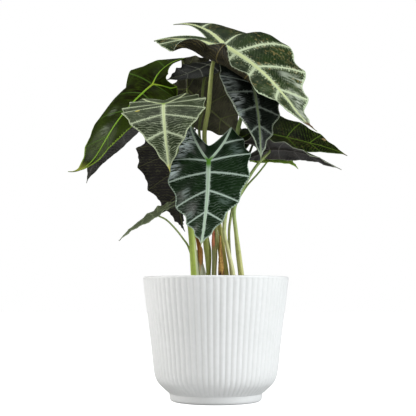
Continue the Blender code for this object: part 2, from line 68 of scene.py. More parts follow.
POT_FLOOR = [(6.0, 20.0), (6.0, 0.0)]
FLUTES_START = (8.0, 9.6)
FLUTES_FADE = (114.2, 115.8)

# Soil
SOIL_TOP = 104.0
SOIL_CROWN = 3.0
SOIL_SINK = 0.8
SOIL_SLACK = 0.3
SOIL_LUMP = 0.45
SOIL_SIDE = (POT_HEIGHT * 0.06, 20.0, 54.0, 93.0)
SOIL_AROUND = 96
SOIL_RINGS = 22
SCATTER_RADIUS = 60.0

# Blade: one half of the flat outline, in lengths from the stalk to the tip
VEIN_STARTS = (1.0, 0.92, 0.79, 0.57, 0.32, 0.12, 0.0)
MARGIN = [
    (1.0, 0.0), (0.935, 0.022), (0.855, 0.090), (0.690, 0.220), (0.450, 0.390),
    (0.170, 0.505), (-0.105, 0.520), (-0.340, 0.430), (-0.520, 0.270),
]
FIRST_VEIN = 3
VEIN_BOW = 0.02
STALK_LINE = 6
LOBE_TIP_LINE = 8
LOBE_BRANCH = 0.5
LOBE_RIB_BOW = 0.035
LOBE_BLEND = 0.12
NOTCH = (-0.17, 0.0)
NOTCH_PULL = (-0.23, 0.085)
SCALLOP = 0.030
WAVE = 0.014
QUILT = 0.012
FRILL = 0.18
HALF_WIDTH = 0.5
CURL_PARTS = 8
MIDRIB_SPAN = (-0.8, 1.02)
MIDRIB_STEPS = 365
BLADE_WELD = 0.02
FINE_WELD = 0.005
EDGE_THICK = 0.40
RIB_THICK = 2.3
VEIN_THICK = 1.0
VEIN_SPREAD = 0.6
BODY_THICK = 0.25
BODY_FROM_EDGE = 6.0
BODY_FROM_RIB = 9.0
FAR_FROM_VEINS = 9.0
LINE_STEPS = (0, 0.025, 0.06, 0.11, 0.18, 0.27, 0.38, 0.5, 0.62, 0.73, 0.82, 0.89, 0.94, 0.975)
ROW_STEPS = (0, 0.015, 0.035, 0.06, 0.1, 0.16, 0.24, 0.34, 0.46, 0.58, 0.7, 0.8, 0.88, 0.94, 0.975, 1)
BLADE_FACTS = ("rib_gap", "vein_gap", "edge_gap", "row", "along", "to_tip", "line", "thick")

# Shapes as in the CAD part, apart from the scallop and wave of left and right, which are smoother here.
# Each half of a blade has its fold and its curl at the lobe, at the stalk and at the tip.
LEAVES = {
    "top": dict(
        stalk_end=(8, -12, 342), tip=(97, -56, 248), faces=(24, 55),
        droop=37, tip_droop=-32, lobe_droop=42, twist=-17, sway=-0.07,
        width=(1.20, 0.77), lobe=(1.46, 0.95), scallop=0.042,
        fold=((4, 16, -7), (-2, -46, 0)), curl=((-26, -27, 18), (-20, 340, 130)),
    ),
    "left": dict(
        stalk_end=(-61, -18, 302), tip=(-131, -48, 214), faces=(-54, 41),
        droop=40, tip_droop=-86, lobe_droop=55, twist=3, sway=-0.12,
        width=(0.46, 0.99), lobe=(0.35, 0.95), scallop=0.006, wave=0.4,
        fold=((-75, -42, -6), (15, 11, 18)), curl=((-10, 28, 17), (-8, -32, -75)),
    ),
    "left_back": dict(
        stalk_end=(-77, 34, 283), tip=(-129, 56, 214), faces=(-126, 44),
        droop=78, tip_droop=-6, lobe_droop=20, twist=12, sway=0.06,
        width=(0.5, 0.92), lobe=(0.4, 0.4),
        fold=((0, 0, 1), (0, 14, 3)), curl=((-12, -12, -12), (-12, 12, -4)),
    ),
    "left_front": dict(
        stalk_end=(-48, -60, 274), tip=(-41, -104, 204), faces=(0, -14),
        droop=68, tip_droop=31, lobe_droop=-20, twist=-4, sway=0.01,
        width=(0.82, 0.83), lobe=(0.7, 0.68),
        fold=((1, -5, 6), (3, -4, 13)), curl=((-12, -21, -12), (-11, -17, -9)),
    ),
    "front": dict(
        stalk_end=(-7, -45, 223), tip=(-12, -80, 142), faces=(-11, 12),
        droop=-32, tip_droop=7, lobe_droop=22, twist=0, sway=-0.02,
        width=(0.85, 0.94), lobe=(0.76, 0.93), scallop=0.046,
        fold=((-11, -4, -13), (-24, -13, -19)), curl=((-13, -8, -15), (-13, -10, -23)),
    ),
    "centre_right": dict(
        stalk_end=(35, -30, 300), tip=(43, -43, 224), faces=(22, 17),
        droop=23, tip_droop=-5, lobe_droop=63, twist=-13, sway=-0.02,
        width=(0.72, 0.78), lobe=(1.0, 1.07), scallop=0.034,
        fold=((0, 9, 7), (-1, -3, 16)), curl=((-12, -12, -12), (-13, -14, -13)),
    ),
    "right": dict(
        stalk_end=(42, 27, 264), tip=(133, 29, 239), faces=(10, 56),
        droop=8, tip_droop=11, lobe_droop=20, twist=2, sway=0.02,
        width=(1.06, 0.93), lobe=(0.35, 0.6), scallop=0.012, wave=0.5,
        fold=((-20, 8, 2), (-10, 18, -1)), curl=((-12, -14, -6), (-12, -1, -11)),
    ),
    "right_low": dict(
        stalk_end=(52, -8, 241), tip=(121, -13, 220), faces=(175, 75),
        droop=47, tip_droop=-14, lobe_droop=19, twist=13, sway=0.02,
        width=(0.75, 0.77), lobe=(0.63, 0.68),
        fold=((3, 5, -16), (7, -6, -23)), curl=((-14, -15, -11), (-13, -24, -14)),
    ),
    "small_right": dict(
        stalk_end=(54, 38, 240), tip=(84, 34, 227), faces=(26, 51),
        droop=39, tip_droop=16, lobe_droop=20, twist=-5, sway=0,
        width=(1.01, 0.98), lobe=(1.0, 1.0),
        fold=((0, 0, 4), (4, 4, 9)), curl=((-12, -12, -12), (-11, -11, -11)),
    ),
    "back_low": dict(
        stalk_end=(-38, 32, 254), tip=(-27, 58, 165), faces=(203, 1),
        droop=46, tip_droop=45, lobe_droop=-8, twist=-13, sway=0.05,
        width=(0.93, 0.45), lobe=(0.42, 0.35),
        fold=((-9, -4, -9), (0, 0, 0)), curl=((-16, -10, -15), (-12, -12, -12)),
    ),
    "low_left": dict(
        stalk_end=(-56, -14, 178), tip=(-92, -17, 151), faces=(-60, 70),
        droop=27, tip_droop=7, lobe_droop=-3, twist=1, sway=0.02,
        width=(1.03, 0.96), lobe=(0.75, 0.95),
        fold=((7, 2, -15), (14, 7, -10)), curl=((-11, -11, -11), (-10, -9, -12)),
    ),
    "back": dict(
        stalk_end=(-29, 55, 314), tip=(31, 50, 258), faces=(174, 8),
        droop=16, tip_droop=6, lobe_droop=10, twist=0, sway=0,
        width=(0.75, 0.88), lobe=(0.6, 0.6),
        fold=((0, 0, -6), (0, 0, -6)), curl=((-8, -8, -8), (-8, -8, -8)),
    ),
    "back_top": dict(
        stalk_end=(-2, 21, 334), tip=(-48, 6, 312), faces=(-17, 65),
        droop=-14, tip_droop=2, lobe_droop=20, twist=-22, sway=-0.01,
        width=(1.0, 1.03), lobe=(0.45, 0.45),
        fold=((0, 0, 0), (-4, -4, 22)), curl=((-12, -12, -12), (-14, -14, -14)),
    ),
}

# What the leaves' looks share. Comb is the reach in mm of the fine teeth beside the veins. Slant and spread
# turn the veinlets and carry them out from the veins, and glow pales the face beside the veins. Veinlets and
# flecks say how strongly those show. Gloss is the roughness and sheen the specular level. Tip is the colour
# of the blade's end, which sets in between the two shares of the midrib in tip_from.
SHARED_LOOK = dict(
    edge_width=0.7, comb=0.3, slant=0.8, spread=0.5, glow=0.0, veinlets=0.2, flecks=0.0, gloss=0.36,
    sheen=0.2, tip=(0.03, 0.02, 0.012), tip_from=(0.92, 0.98),
)
BRIGHT_GREEN = (0.45, 0.65, 0.08)
# Each leaf's own look: colours of the upper face from dark to light, of its ribs, of the joint at the stalk,
# of side veins and margin, widths in mm, and the underside from dark to light with its veins
LOOKS = {
    "top": dict(
        dark=(0.004, 0.012, 0.001), light=(0.018, 0.036, 0.005), rib=(0.48, 0.54, 0.28),
        joint=(0.52, 0.6, 0.27), vein=(0.46, 0.53, 0.34), edge=(0.46, 0.54, 0.36), rib_width=4.9,
        vein_width=2.8, edge_width=2.6, comb=4.6, slant=2.6, spread=0.15, glow=0.1, veinlets=0.5,
        flecks=0.35, gloss=0.46, sheen=0.08, tip=(0.1, 0.045, 0.022), tip_from=(0.87, 0.91),
        under=(0.007, 0.006, 0.002), under_light=(0.02, 0.017, 0.006), under_vein=(0.13, 0.105, 0.035),
    ),
    "left": dict(
        dark=(0.009, 0.014, 0.001), light=(0.026, 0.044, 0.002), rib=(0.17, 0.33, 0.025),
        joint=(0.26, 0.36, 0.03), vein=(0.045, 0.095, 0.01), edge=(0.2, 0.32, 0.03), rib_width=2.8,
        vein_width=1.6, edge_width=1.5, veinlets=0.1, gloss=0.34, sheen=0.03, tip=(0.3, 0.32, 0.06),
        tip_from=(0.8, 0.97),
        under=(0.01, 0.008, 0.008), under_light=(0.022, 0.018, 0.021), under_vein=(0.06, 0.07, 0.04),
    ),
    "left_back": dict(
        dark=(0.006, 0.013, 0.003), light=(0.018, 0.034, 0.009), rib=(0.12, 0.2, 0.05),
        joint=(0.14, 0.22, 0.05), vein=(0.06, 0.1, 0.03), edge=(0.06, 0.09, 0.03), rib_width=2.4,
        vein_width=1.4, veinlets=0.15,
        under=(0.022, 0.021, 0.018), under_light=(0.09, 0.088, 0.078), under_vein=(0.17, 0.165, 0.15),
    ),
    "left_front": dict(
        dark=(0.014, 0.022, 0.006), light=(0.037, 0.052, 0.019), rib=(0.5, 0.56, 0.32),
        joint=(0.26, 0.38, 0.08), vein=(0.42, 0.48, 0.31), edge=(0.42, 0.48, 0.3), rib_width=3.2,
        vein_width=1.4, edge_width=1.1, comb=2.2, glow=0.24, veinlets=0.6, gloss=0.46, sheen=0.18,
        tip=(0.62, 0.6, 0.14), tip_from=(0.9, 0.98),
        under=(0.022, 0.013, 0.014), under_light=(0.043, 0.029, 0.032), under_vein=(0.1, 0.09, 0.06),
    ),
    "front": dict(
        dark=(0.003, 0.011, 0.003), light=(0.01, 0.028, 0.008), rib=(0.48, 0.6, 0.48),
        joint=(0.1, 0.26, 0.03), vein=(0.4, 0.5, 0.42), edge=(0.36, 0.46, 0.36), rib_width=4.3,
        vein_width=2, edge_width=1, comb=1.2, spread=0.2, veinlets=0.34, gloss=0.24, sheen=0.15,
        tip=(0.36, 0.44, 0.2),
        under=(0.013, 0.009, 0.012), under_light=(0.03, 0.021, 0.027), under_vein=(0.08, 0.07, 0.06),
    ),
    "centre_right": dict(
        dark=(0.004, 0.006, 0.004), light=(0.013, 0.019, 0.014), rib=(0.26, 0.33, 0.18),
        joint=(0.17, 0.26, 0.08), vein=(0.26, 0.31, 0.26), edge=(0.36, 0.42, 0.31), rib_width=3.0,
        vein_width=1.3, edge_width=1.3, comb=2.2, veinlets=0.18, gloss=0.26, sheen=0.11,
        tip=(0.2, 0.24, 0.1),
        under=(0.016, 0.011, 0.014), under_light=(0.036, 0.025, 0.032), under_vein=(0.07, 0.06, 0.05),
    ),
    "right": dict(
        dark=(0.002, 0.003, 0.0008), light=(0.007, 0.01, 0.0015), rib=(0.07, 0.12, 0.012),
        joint=(0.1, 0.16, 0.03), vein=(0.07, 0.12, 0.012), edge=(0.05, 0.09, 0.012), rib_width=2.4,
        vein_width=1.2, veinlets=0.55, flecks=0.08, gloss=0.38, sheen=0.03, tip=(0.1, 0.06, 0.02),
        under=(0.011, 0.008, 0.009), under_light=(0.024, 0.018, 0.021), under_vein=(0.06, 0.055, 0.05),
    ),
    "right_low": dict(
        dark=(0.015, 0.022, 0.007), light=(0.034, 0.046, 0.015), rib=(0.16, 0.24, 0.08),
        joint=(0.2, 0.28, 0.1), vein=(0.14, 0.18, 0.08), edge=(0.34, 0.37, 0.27), rib_width=2.2,
        vein_width=1.4, edge_width=0.9, comb=0.5, gloss=0.4, tip=(0.05, 0.03, 0.02),
        under=(0.003, 0.002, 0.0015), under_light=(0.032, 0.027, 0.022), under_vein=(0.1, 0.095, 0.085),
    ),
    "small_right": dict(
        dark=(0.28, 0.55, 0.03), light=(0.45, 0.72, 0.06), rib=BRIGHT_GREEN, joint=BRIGHT_GREEN,
        vein=BRIGHT_GREEN, edge=BRIGHT_GREEN, rib_width=1.4, vein_width=0.8, comb=0.5, gloss=0.42,
        sheen=0.3, tip=BRIGHT_GREEN,
        under=(0.2, 0.36, 0.035), under_light=(0.33, 0.5, 0.07), under_vein=BRIGHT_GREEN,
    ),
    "back_low": dict(
        dark=(0.006, 0.014, 0.005), light=(0.019, 0.036, 0.014), rib=(0.14, 0.18, 0.08),
        joint=(0.14, 0.18, 0.08), vein=(0.1, 0.13, 0.06), edge=(0.04, 0.045, 0.035), rib_width=2.2,
        vein_width=1.3, tip=(0.02, 0.015, 0.01),
        under=(0.012, 0.01, 0.009), under_light=(0.036, 0.03, 0.03), under_vein=(0.15, 0.155, 0.07),
    ),
    "low_left": dict(
        dark=(0.065, 0.085, 0.04), light=(0.13, 0.16, 0.085), rib=(0.28, 0.34, 0.17),
        joint=(0.3, 0.38, 0.15), vein=(0.2, 0.25, 0.13), edge=(0.26, 0.31, 0.18), rib_width=1.4,
        vein_width=0.8, edge_width=0.9, comb=0.8, veinlets=0.3, flecks=0.05, gloss=0.46,
        tip=(0.2, 0.2, 0.12),
        under=(0.048, 0.057, 0.032), under_light=(0.081, 0.095, 0.055), under_vein=(0.15, 0.18, 0.09),
    ),
    "back": dict(
        dark=(0.006, 0.014, 0.003), light=(0.019, 0.034, 0.01), rib=(0.16, 0.22, 0.08),
        joint=(0.16, 0.22, 0.08), vein=(0.1, 0.14, 0.05), edge=(0.05, 0.06, 0.03), rib_width=2.4,
        vein_width=1.5, sheen=0.15,
        under=(0.046, 0.044, 0.029), under_light=(0.112, 0.108, 0.068), under_vein=(0.15, 0.17, 0.06),
    ),
    "back_top": dict(
        dark=(0.006, 0.008, 0.006), light=(0.02, 0.024, 0.018), rib=(0.16, 0.18, 0.12),
        joint=(0.1, 0.12, 0.08), vein=(0.16, 0.17, 0.14), edge=(0.05, 0.06, 0.04), rib_width=1.8,
        vein_width=1.1, comb=1.0, veinlets=0.35, gloss=0.4, sheen=0.15,
        under=(0.009, 0.007, 0.007), under_light=(0.022, 0.019, 0.017), under_vein=(0.06, 0.06, 0.04),
    ),
}
FLECK_TAN = (0.36, 0.26, 0.10)
FLECK_PALE = (0.13, 0.16, 0.09)
# Painted highlights in streaks on the upper faces, and on the left leaf a painted shade and a painted pool of
# light: place, radius in mm, colour and strength
PAINTED_HIGHLIGHTS_AND_SHADE = {
    "front": [
        ((-31, -22, 243), 19, (0.74, 0.86, 0.84), 1.0), ((-41, -29, 216), 12, (0.56, 0.67, 0.65), 1.0),
        ((-28, -42, 194), 7, (0.26, 0.34, 0.31), 0.55), ((-24, -53, 172), 6, (0.22, 0.30, 0.27), 0.5),
        ((8, -57, 185), 8, (0.12, 0.17, 0.14), 0.6), ((19, -43, 234), 9, (0.16, 0.22, 0.19), 0.6),
    ],
    "centre_right": [
        ((10, -38, 299), 16, (0.42, 0.48, 0.45), 0.6), ((19, -45, 282), 11, (0.50, 0.56, 0.54), 0.7),
        ((22, -50, 268), 7, (0.34, 0.40, 0.38), 0.7),
    ],
    "top": [
        ((82, -8, 303), 16, (0.40, 0.44, 0.34), 0.9), ((81, -45, 266), 18, (0.40, 0.44, 0.34), 0.9),
        ((70, -19, 311), 14, (0.34, 0.38, 0.30), 0.7), ((75, -32, 284), 16, (0.42, 0.46, 0.37), 0.9),
    ],
    "left": [
        # painted shade over the upper part, then a painted pool of light and two painted highlights
        ((-74, -10, 300), 46, (0.007, 0.006, 0.001), 0.95),
        ((-112, -30, 246), 22, (0.045, 0.075, 0.006), 0.8),
        ((-106, -24, 256), 8, (0.16, 0.19, 0.13), 0.50), ((-100, -13, 276), 9, (0.16, 0.19, 0.13), 0.50),
    ],
}
# Worn or yellow spots: place, radius in mm and colour
SPOTS = {
    "left_front": [((-71, -74, 264), 3.0, (0.50, 0.46, 0.09)), ((-71, -74, 264), 0.8, (0.30, 0.05, 0.02))],
    "right": [((111, 39, 258), 3.5, (0.20, 0.15, 0.07))],
}
# Small teeth of the margin, which the CAD part leaves out: their size in blade lengths and the first line
# that has them
MARGIN_TEETH = {"back_low": (0.016, 0.5), "left_front": (0.016, 4.6)}

# Width of the lobes' ribs, as a share of the midrib's
LOBE_RIB_SHARE = {"top": 0.95, "front": 0.55}
PLAIN_LOBE_RIB_SHARE = 0.65

# Stalks: points of the route from the soil up, the radius at each and at the blade, and the colours at the
# foot and at the top
STALKS = {
    "top": (
        [(13, -3, 94), (10, -3, 120), (7, -3, 143), (4, -3, 164), (-5, -4, 211), (-11, -5, 252),
         (-7, -6, 281), (-5, -9, 305), (-2, -11, 326)],
        (2.6, 2.5, 2.3, 2.1, 2.1, 2.2, 2.3, 2.1, 1.8, 1.3), (0.413, 0.391, 0.098), (0.45, 0.52, 0.16),
    ),
    "left": (
        [(-18, -3, 94), (-20, -4, 119), (-24, -8, 164), (-31, -8, 200), (-43, -4, 250), (-52, 1, 285),
         (-56, -8, 296)],
        (4.3, 4.0, 3.0, 2.4, 2.0, 1.7, 1.5, 1.1), (0.50, 0.64, 0.11), (0.23, 0.326, 0.058),
    ),
    "left_back": (
        [(-1, 8, 94), (-1, 8, 120), (-1, 9, 153), (-14, 9, 195), (-37, 6, 240), (-60, 8, 270)],
        (1.9, 1.8, 1.6, 1.5, 1.4, 1.3, 1.0), (0.31, 0.295, 0.093), (0.144, 0.192, 0.048),
    ),
    "left_front": (
        [(-7, -7, 94), (-7, -7, 121), (-8, -8, 143), (-14, -8, 173), (-28, -4, 219), (-42, -20, 251)],
        (2.0, 2.2, 3.6, 2.4, 2.0, 1.6, 1.1), (0.31, 0.34, 0.065), (0.192, 0.272, 0.048),
    ),
    "front": (
        [(-2, -10, 94), (-1.5, -10, 121), (-0.5, -10, 143), (0, -11, 166), (-1, -18, 197),
         (-6, -34, 217)],
        (2.2, 2.1, 1.9, 1.7, 1.6, 1.4, 1.1), (0.388, 0.372, 0.139), (0.224, 0.24, 0.064),
    ),
    "centre_right": (
        [(18, -7, 94), (16, -7, 121), (11, -8, 145), (8, -9, 164), (13, -9, 200), (18, -11, 236),
         (22, -14, 261), (29, -20, 283)],
        (2.6, 2.4, 1.8, 1.9, 1.9, 2.0, 2.1, 1.8, 1.1), (0.66, 0.66, 0.32), (0.27, 0.395, 0.104),
    ),
    "right": (
        [(18, 5, 94), (15, 5, 120), (13, 4, 153), (14, 5, 171), (20, 9, 200), (31, 16, 233)],
        (1.8, 1.6, 1.3, 1.3, 1.3, 1.3, 1.0), (0.434, 0.434, 0.186), (0.192, 0.256, 0.064),
    ),
    "right_low": (
        [(29, -2, 94), (25, -2, 120), (22, -2, 143), (19, -3, 164), (18, -4, 184), (26, -7, 202),
         (36, -11, 219), (45, -14, 230)],
        (2.3, 2.1, 2.0, 1.9, 1.8, 1.6, 1.5, 1.4, 1.0), (0.64, 0.64, 0.253), (0.346, 0.461, 0.154),
    ),
    "small_right": (
        [(25, 9, 94), (23, 9, 120), (20, 9, 148), (19, 13, 183), (29, 22, 205), (43, 32, 222)],
        (1.3, 1.2, 1.1, 1.0, 1.0, 0.9, 0.8), (0.465, 0.48, 0.217), (0.32, 0.448, 0.128),
    ),
    "back_low": (
        [(-6, 12, 94), (-7, 12, 120), (-9, 12, 149), (-16, 14, 189), (-28, 20, 227)],
        (1.8, 1.6, 1.5, 1.4, 1.3, 1.0), (0.31, 0.295, 0.093), (0.128, 0.16, 0.048),
    ),
    "low_left": (
        [(-16, 6, 94), (-20, 3, 124), (-26, -1, 145), (-31, -6, 153), (-38, -9, 162), (-47, -12, 171)],
        (1.3, 1.2, 1.0, 0.9, 0.9, 0.85, 0.8), (0.465, 0.527, 0.217), (0.32, 0.416, 0.128),
    ),
    "back": (
        [(9, 15, 94), (7, 14, 120), (0, 16, 164), (-13, 16, 209), (-21, 16, 250), (-25, 21, 283)],
        (2.1, 1.9, 1.8, 1.7, 1.6, 1.5, 1.1), (0.341, 0.326, 0.109), (0.144, 0.192, 0.048),
    ),
    "back_top": (
        [(12, 5, 94), (10, 5, 120), (3, 6, 165), (-8, 5, 212), (-16, 4, 257), (-14, 6, 280),
         (-12, 11, 309), (-8, 15, 323)],
        (1.7, 1.5, 1.4, 1.3, 1.3, 1.4, 1.4, 1.2, 1.0), (0.31, 0.295, 0.093), (0.176, 0.224, 0.064),
    ),
}
# Pale skin wrapped round the foot of a stalk: its middle and half width in turns round the stalk, and colour
WINGS = {"left": (0.68, 0.2, (0.66, 0.72, 0.44))}
# How far a stalk's route ends below its blade's midrib: a gap in mm, and a share of the stalk's end radius
END_CLEAR = 1.1
END_CLEAR_STEEP = 0.35
STEEP_STALKS = ("front",)
GAP = 0.3
STALK_STEPS = 60
# The stalk's last point: how far into the blade, and how thin
SEAT_SHARE = 0.4
SEAT_RADIUS_SHARE = 0.9

# Dry sheaths at the foot: route, half width at each point, cup in radians, thickness, and the bark's colours
# from dark to light, of its foot and the heights between which the foot's colour gives way
SHEATHS = {
    "pale": (
        [(-12, 3, SOIL_TOP + 1), (-13, 3, 120), (-16, 2, 134), (-18, 1, 143)],
        (4.0, 3.9, 2.4, 0.8), 0.9, 0.5,
        ((0.50, 0.52, 0.36), (0.78, 0.80, 0.62)),
    ),
    "brown": (
        [(-12, -6, SOIL_TOP + 3), (-14, -5, 124), (-15, -4, 142), (-19, -3, 157)],
        (1.5, 1.9, 2.6, 1.0), 0.7, 0.25,
        ((0.36, 0.12, 0.025), (0.78, 0.42, 0.13), (0.84, 0.86, 0.62), (122, 131)),
    ),
    "red": (
        [(-3.6, -12.7, SOIL_TOP + 4), (-2.6, -13.1, 130), (-2.6, -13.1, 150), (-2.2, -13.8, 161)],
        (1.0, 1.1, 1.5, 0.8), 0.7, 0.25,
        ((0.26, 0.05, 0.025), (0.52, 0.20, 0.09), (0.20, 0.21, 0.07), (140, 148)),
    ),
}
SHEATH_ROWS = 28
SHEATH_COLUMNS = 9
SHEATH_TEAR = 0.06

# Camera, fitted to the photo's frame of 416 by 416 pixels
PHOTO_WIDTH = 416
FOCAL_PIXELS = 922.0
SENSOR = 36.0
CAMERA_PLACE = (-0.0075, -0.890, 0.095)
CAMERA_PITCH = 5.7


# Small tools

def unit(vector):
    return vector / np.linalg.norm(vector)


def looking(azimuth, elevation):
    """Direction that faces the front at azimuth 0 and the right at 90."""
    a, e = math.radians(azimuth), math.radians(elevation)
    return np.array([math.sin(a) * math.cos(e), -math.cos(a) * math.cos(e), math.sin(e)])


def catmull_rom(given, where):
    """Points of a smooth curve through the given points, at places counted in points."""
    given = np.asarray(given, float)
    last = len(given) - 1
    step = np.minimum(where.astype(int), last - 1)
    f = (where - step)[:, None]
    before = given[np.maximum(step - 1, 0)]
    start = given[step]
    end = given[step + 1]
    after = given[np.minimum(step + 2, last)]
    bend = 2 * before - 5 * start + 4 * end - after
    turn = 3 * start - before - 3 * end + after
    return 0.5 * (2 * start + (end - before) * f + bend * f**2 + turn * f**3)


def new_object(name, mesh):
    obj = bpy.data.objects.new(name, mesh)
    bpy.context.scene.collection.objects.link(obj)
    return obj


def mesh_object(name, bm, smooth=False):
    """Turns a finished bmesh into an object."""
    mesh = bpy.data.meshes.new(name)
    bm.to_mesh(mesh)
    bm.free()
    if smooth:
        mesh.shade_smooth()
    return new_object(name, mesh)


def add_quads(bm, grid, closed=False):
    """Faces between the rows of a grid of vertices. The rows of a closed grid are rings."""
    columns = len(grid[0]) if closed else len(grid[0]) - 1
    for low, high in zip(grid, grid[1:]):
        for k in range(columns):
            after = (k + 1) % len(low)
            bm.faces.new((low[k], low[after], high[after], high[k]))


class Value:
    """A value in a node tree, so that shading can be written as plain arithmetic."""

    def __init__(self, nodes, socket):
        self.nodes = nodes
        self.socket = socket

    def __add__(self, other):
        return self.nodes.math("ADD", self, other)

    def __sub__(self, other):
        return self.nodes.math("SUBTRACT", self, other)

    def __rsub__(self, other):
        return self.nodes.math("SUBTRACT", other, self)

    def __mul__(self, other):
        return self.nodes.math("MULTIPLY", self, other)

    def __truediv__(self, other):
        return self.nodes.math("DIVIDE", self, other)

    __radd__ = __add__
    __rmul__ = __mul__


class Nodes:
    """Adds nodes to one tree and joins them."""

    def __init__(self, tree):
        self.tree = tree

    def add(self, kind, feeds=(), **settings):
        node = self.tree.nodes.new(kind)
        for key, value in settings.items():
            setattr(node, key, value)
        for socket, value in dict(feeds).items():
            self.feed(node.inputs[socket], value)
        return node

    def feed(self, socket, value):
        value = getattr(value, "socket", value)
        if isinstance(value, bpy.types.NodeSocket):
            self.tree.links.new(value, socket)
        elif isinstance(value, tuple) and socket.type == "RGBA":
            socket.default_value = (*value, 1.0)
        else:
            socket.default_value = value

    def first(self, kind, feeds=(), **settings):
        """Adds a node and returns its first output."""
        return self.add(kind, feeds, **settings).outputs[0]

    def geo(self, kind, feeds=(), **settings):
        """Adds a Geometry node and returns its first output."""
        return self.first("GeometryNode" + kind, feeds, **settings)

    def coat(self, out, geometry, given):
        """Ends a tree by giving its geometry the material of its input."""
        self.feed(out, self.geo("SetMaterial", {"Geometry": geometry, "Material": given["Material"]}))

    def named(self, sockets):
        """Sockets by their names, ready for arithmetic."""
        return {socket.name: Value(self, socket) for socket in sockets}

    def math(self, operation, a, b=0.0):
        return Value(self, self.first("ShaderNodeMath", {0: a, 1: b}, operation=operation))

    def vector(self, operation, a, b):
        """Vector arithmetic, with a number for b to scale and the gap as a number for a distance."""
        second = "Scale" if operation == "SCALE" else 1
        outputs = self.add("ShaderNodeVectorMath", {0: a, second: b}, operation=operation).outputs
        return Value(self, outputs["Value" if operation == "DISTANCE" else "Vector"])

    def remap(self, value, low, high, to_low=0.0, to_high=1.0):
        feeds = {0: value, 1: low, 2: high, 3: to_low, 4: to_high}
        return Value(self, self.first("ShaderNodeMapRange", feeds, interpolation_type="SMOOTHSTEP"))

    def mix(self, factor, a, b):
        return self.add("ShaderNodeMix", {0: factor, 6: a, 7: b}, data_type="RGBA").outputs[2]

    def fact(self, name):
        """A number stored on the mesh."""
        return Value(self, self.add("ShaderNodeAttribute", attribute_name=name).outputs["Fac"])

    def noise(self, vector, scale, detail=2.0, roughness=0.5):
        feeds = {"Vector": vector, "Scale": scale, "Detail": detail, "Roughness": roughness}
        return Value(self, self.add("ShaderNodeTexNoise", feeds).outputs["Fac"])

    def place(self):
        return self.add("ShaderNodeTexCoord").outputs["Object"]

    def tooth(self, turns):
        """A row of teeth: 1 at whole turns and 0 half-way between."""
        return self.math("ABSOLUTE", self.math("FRACT", turns) - 0.5) * 2.0

    def stretched(self, vector, scale):
        return self.first("ShaderNodeMapping", {"Vector": vector, "Scale": scale})

    def bump(self, shader, strength, distance, height):
        """Fine relief on a material: its strength, its depth in metres and its height."""
        feeds = {"Strength": strength, "Distance": distance, "Height": height}
        self.feed(shader["Normal"], self.first("ShaderNodeBump", feeds))

    def group(self, group, **values):
        """Places a shared group. A name with underscores stands for a socket name with spaces."""
        node = self.add("ShaderNodeGroup", node_tree=group)
        for key, value in values.items():
            self.feed(node.inputs[key.replace("_", " ").capitalize()], value)
        return self.named(node.outputs)

    def mottle(self, dark, light, scale):
        """The shared unevenness between two colours."""
        return self.group(GROUPS["mottle"], dark=dark, light=light, scale=scale)


def new_group(name, inputs, outputs):
    """A shader group; returns it with its tools, its inputs and its outputs."""
    tree = bpy.data.node_groups.new(name, "ShaderNodeTree")
    for socket, value in inputs:
        kind = "NodeSocketColor" if isinstance(value, tuple) else "NodeSocketFloat"
        made = tree.interface.new_socket(name=socket, in_out="INPUT", socket_type=kind)
        made.default_value = (*value, 1.0) if isinstance(value, tuple) else value
    for socket in outputs:
        kind = "NodeSocketColor" if socket == "Colour" else "NodeSocketFloat"
        tree.interface.new_socket(name=socket, in_out="OUTPUT", socket_type=kind)
    n = Nodes(tree)
    return tree, n, n.named(n.add("NodeGroupInput").outputs), n.add("NodeGroupOutput").inputs


def new_material(name, roughness=0.5, specular=0.5):
    material = bpy.data.materials.new(name)
    material.use_nodes = True
    shader = material.node_tree.nodes["Principled BSDF"]
    shader.inputs["Roughness"].default_value = roughness
    shader.inputs["Specular IOR Level"].default_value = specular
    return material, Nodes(material.node_tree), shader.inputs


# Shared shader groups

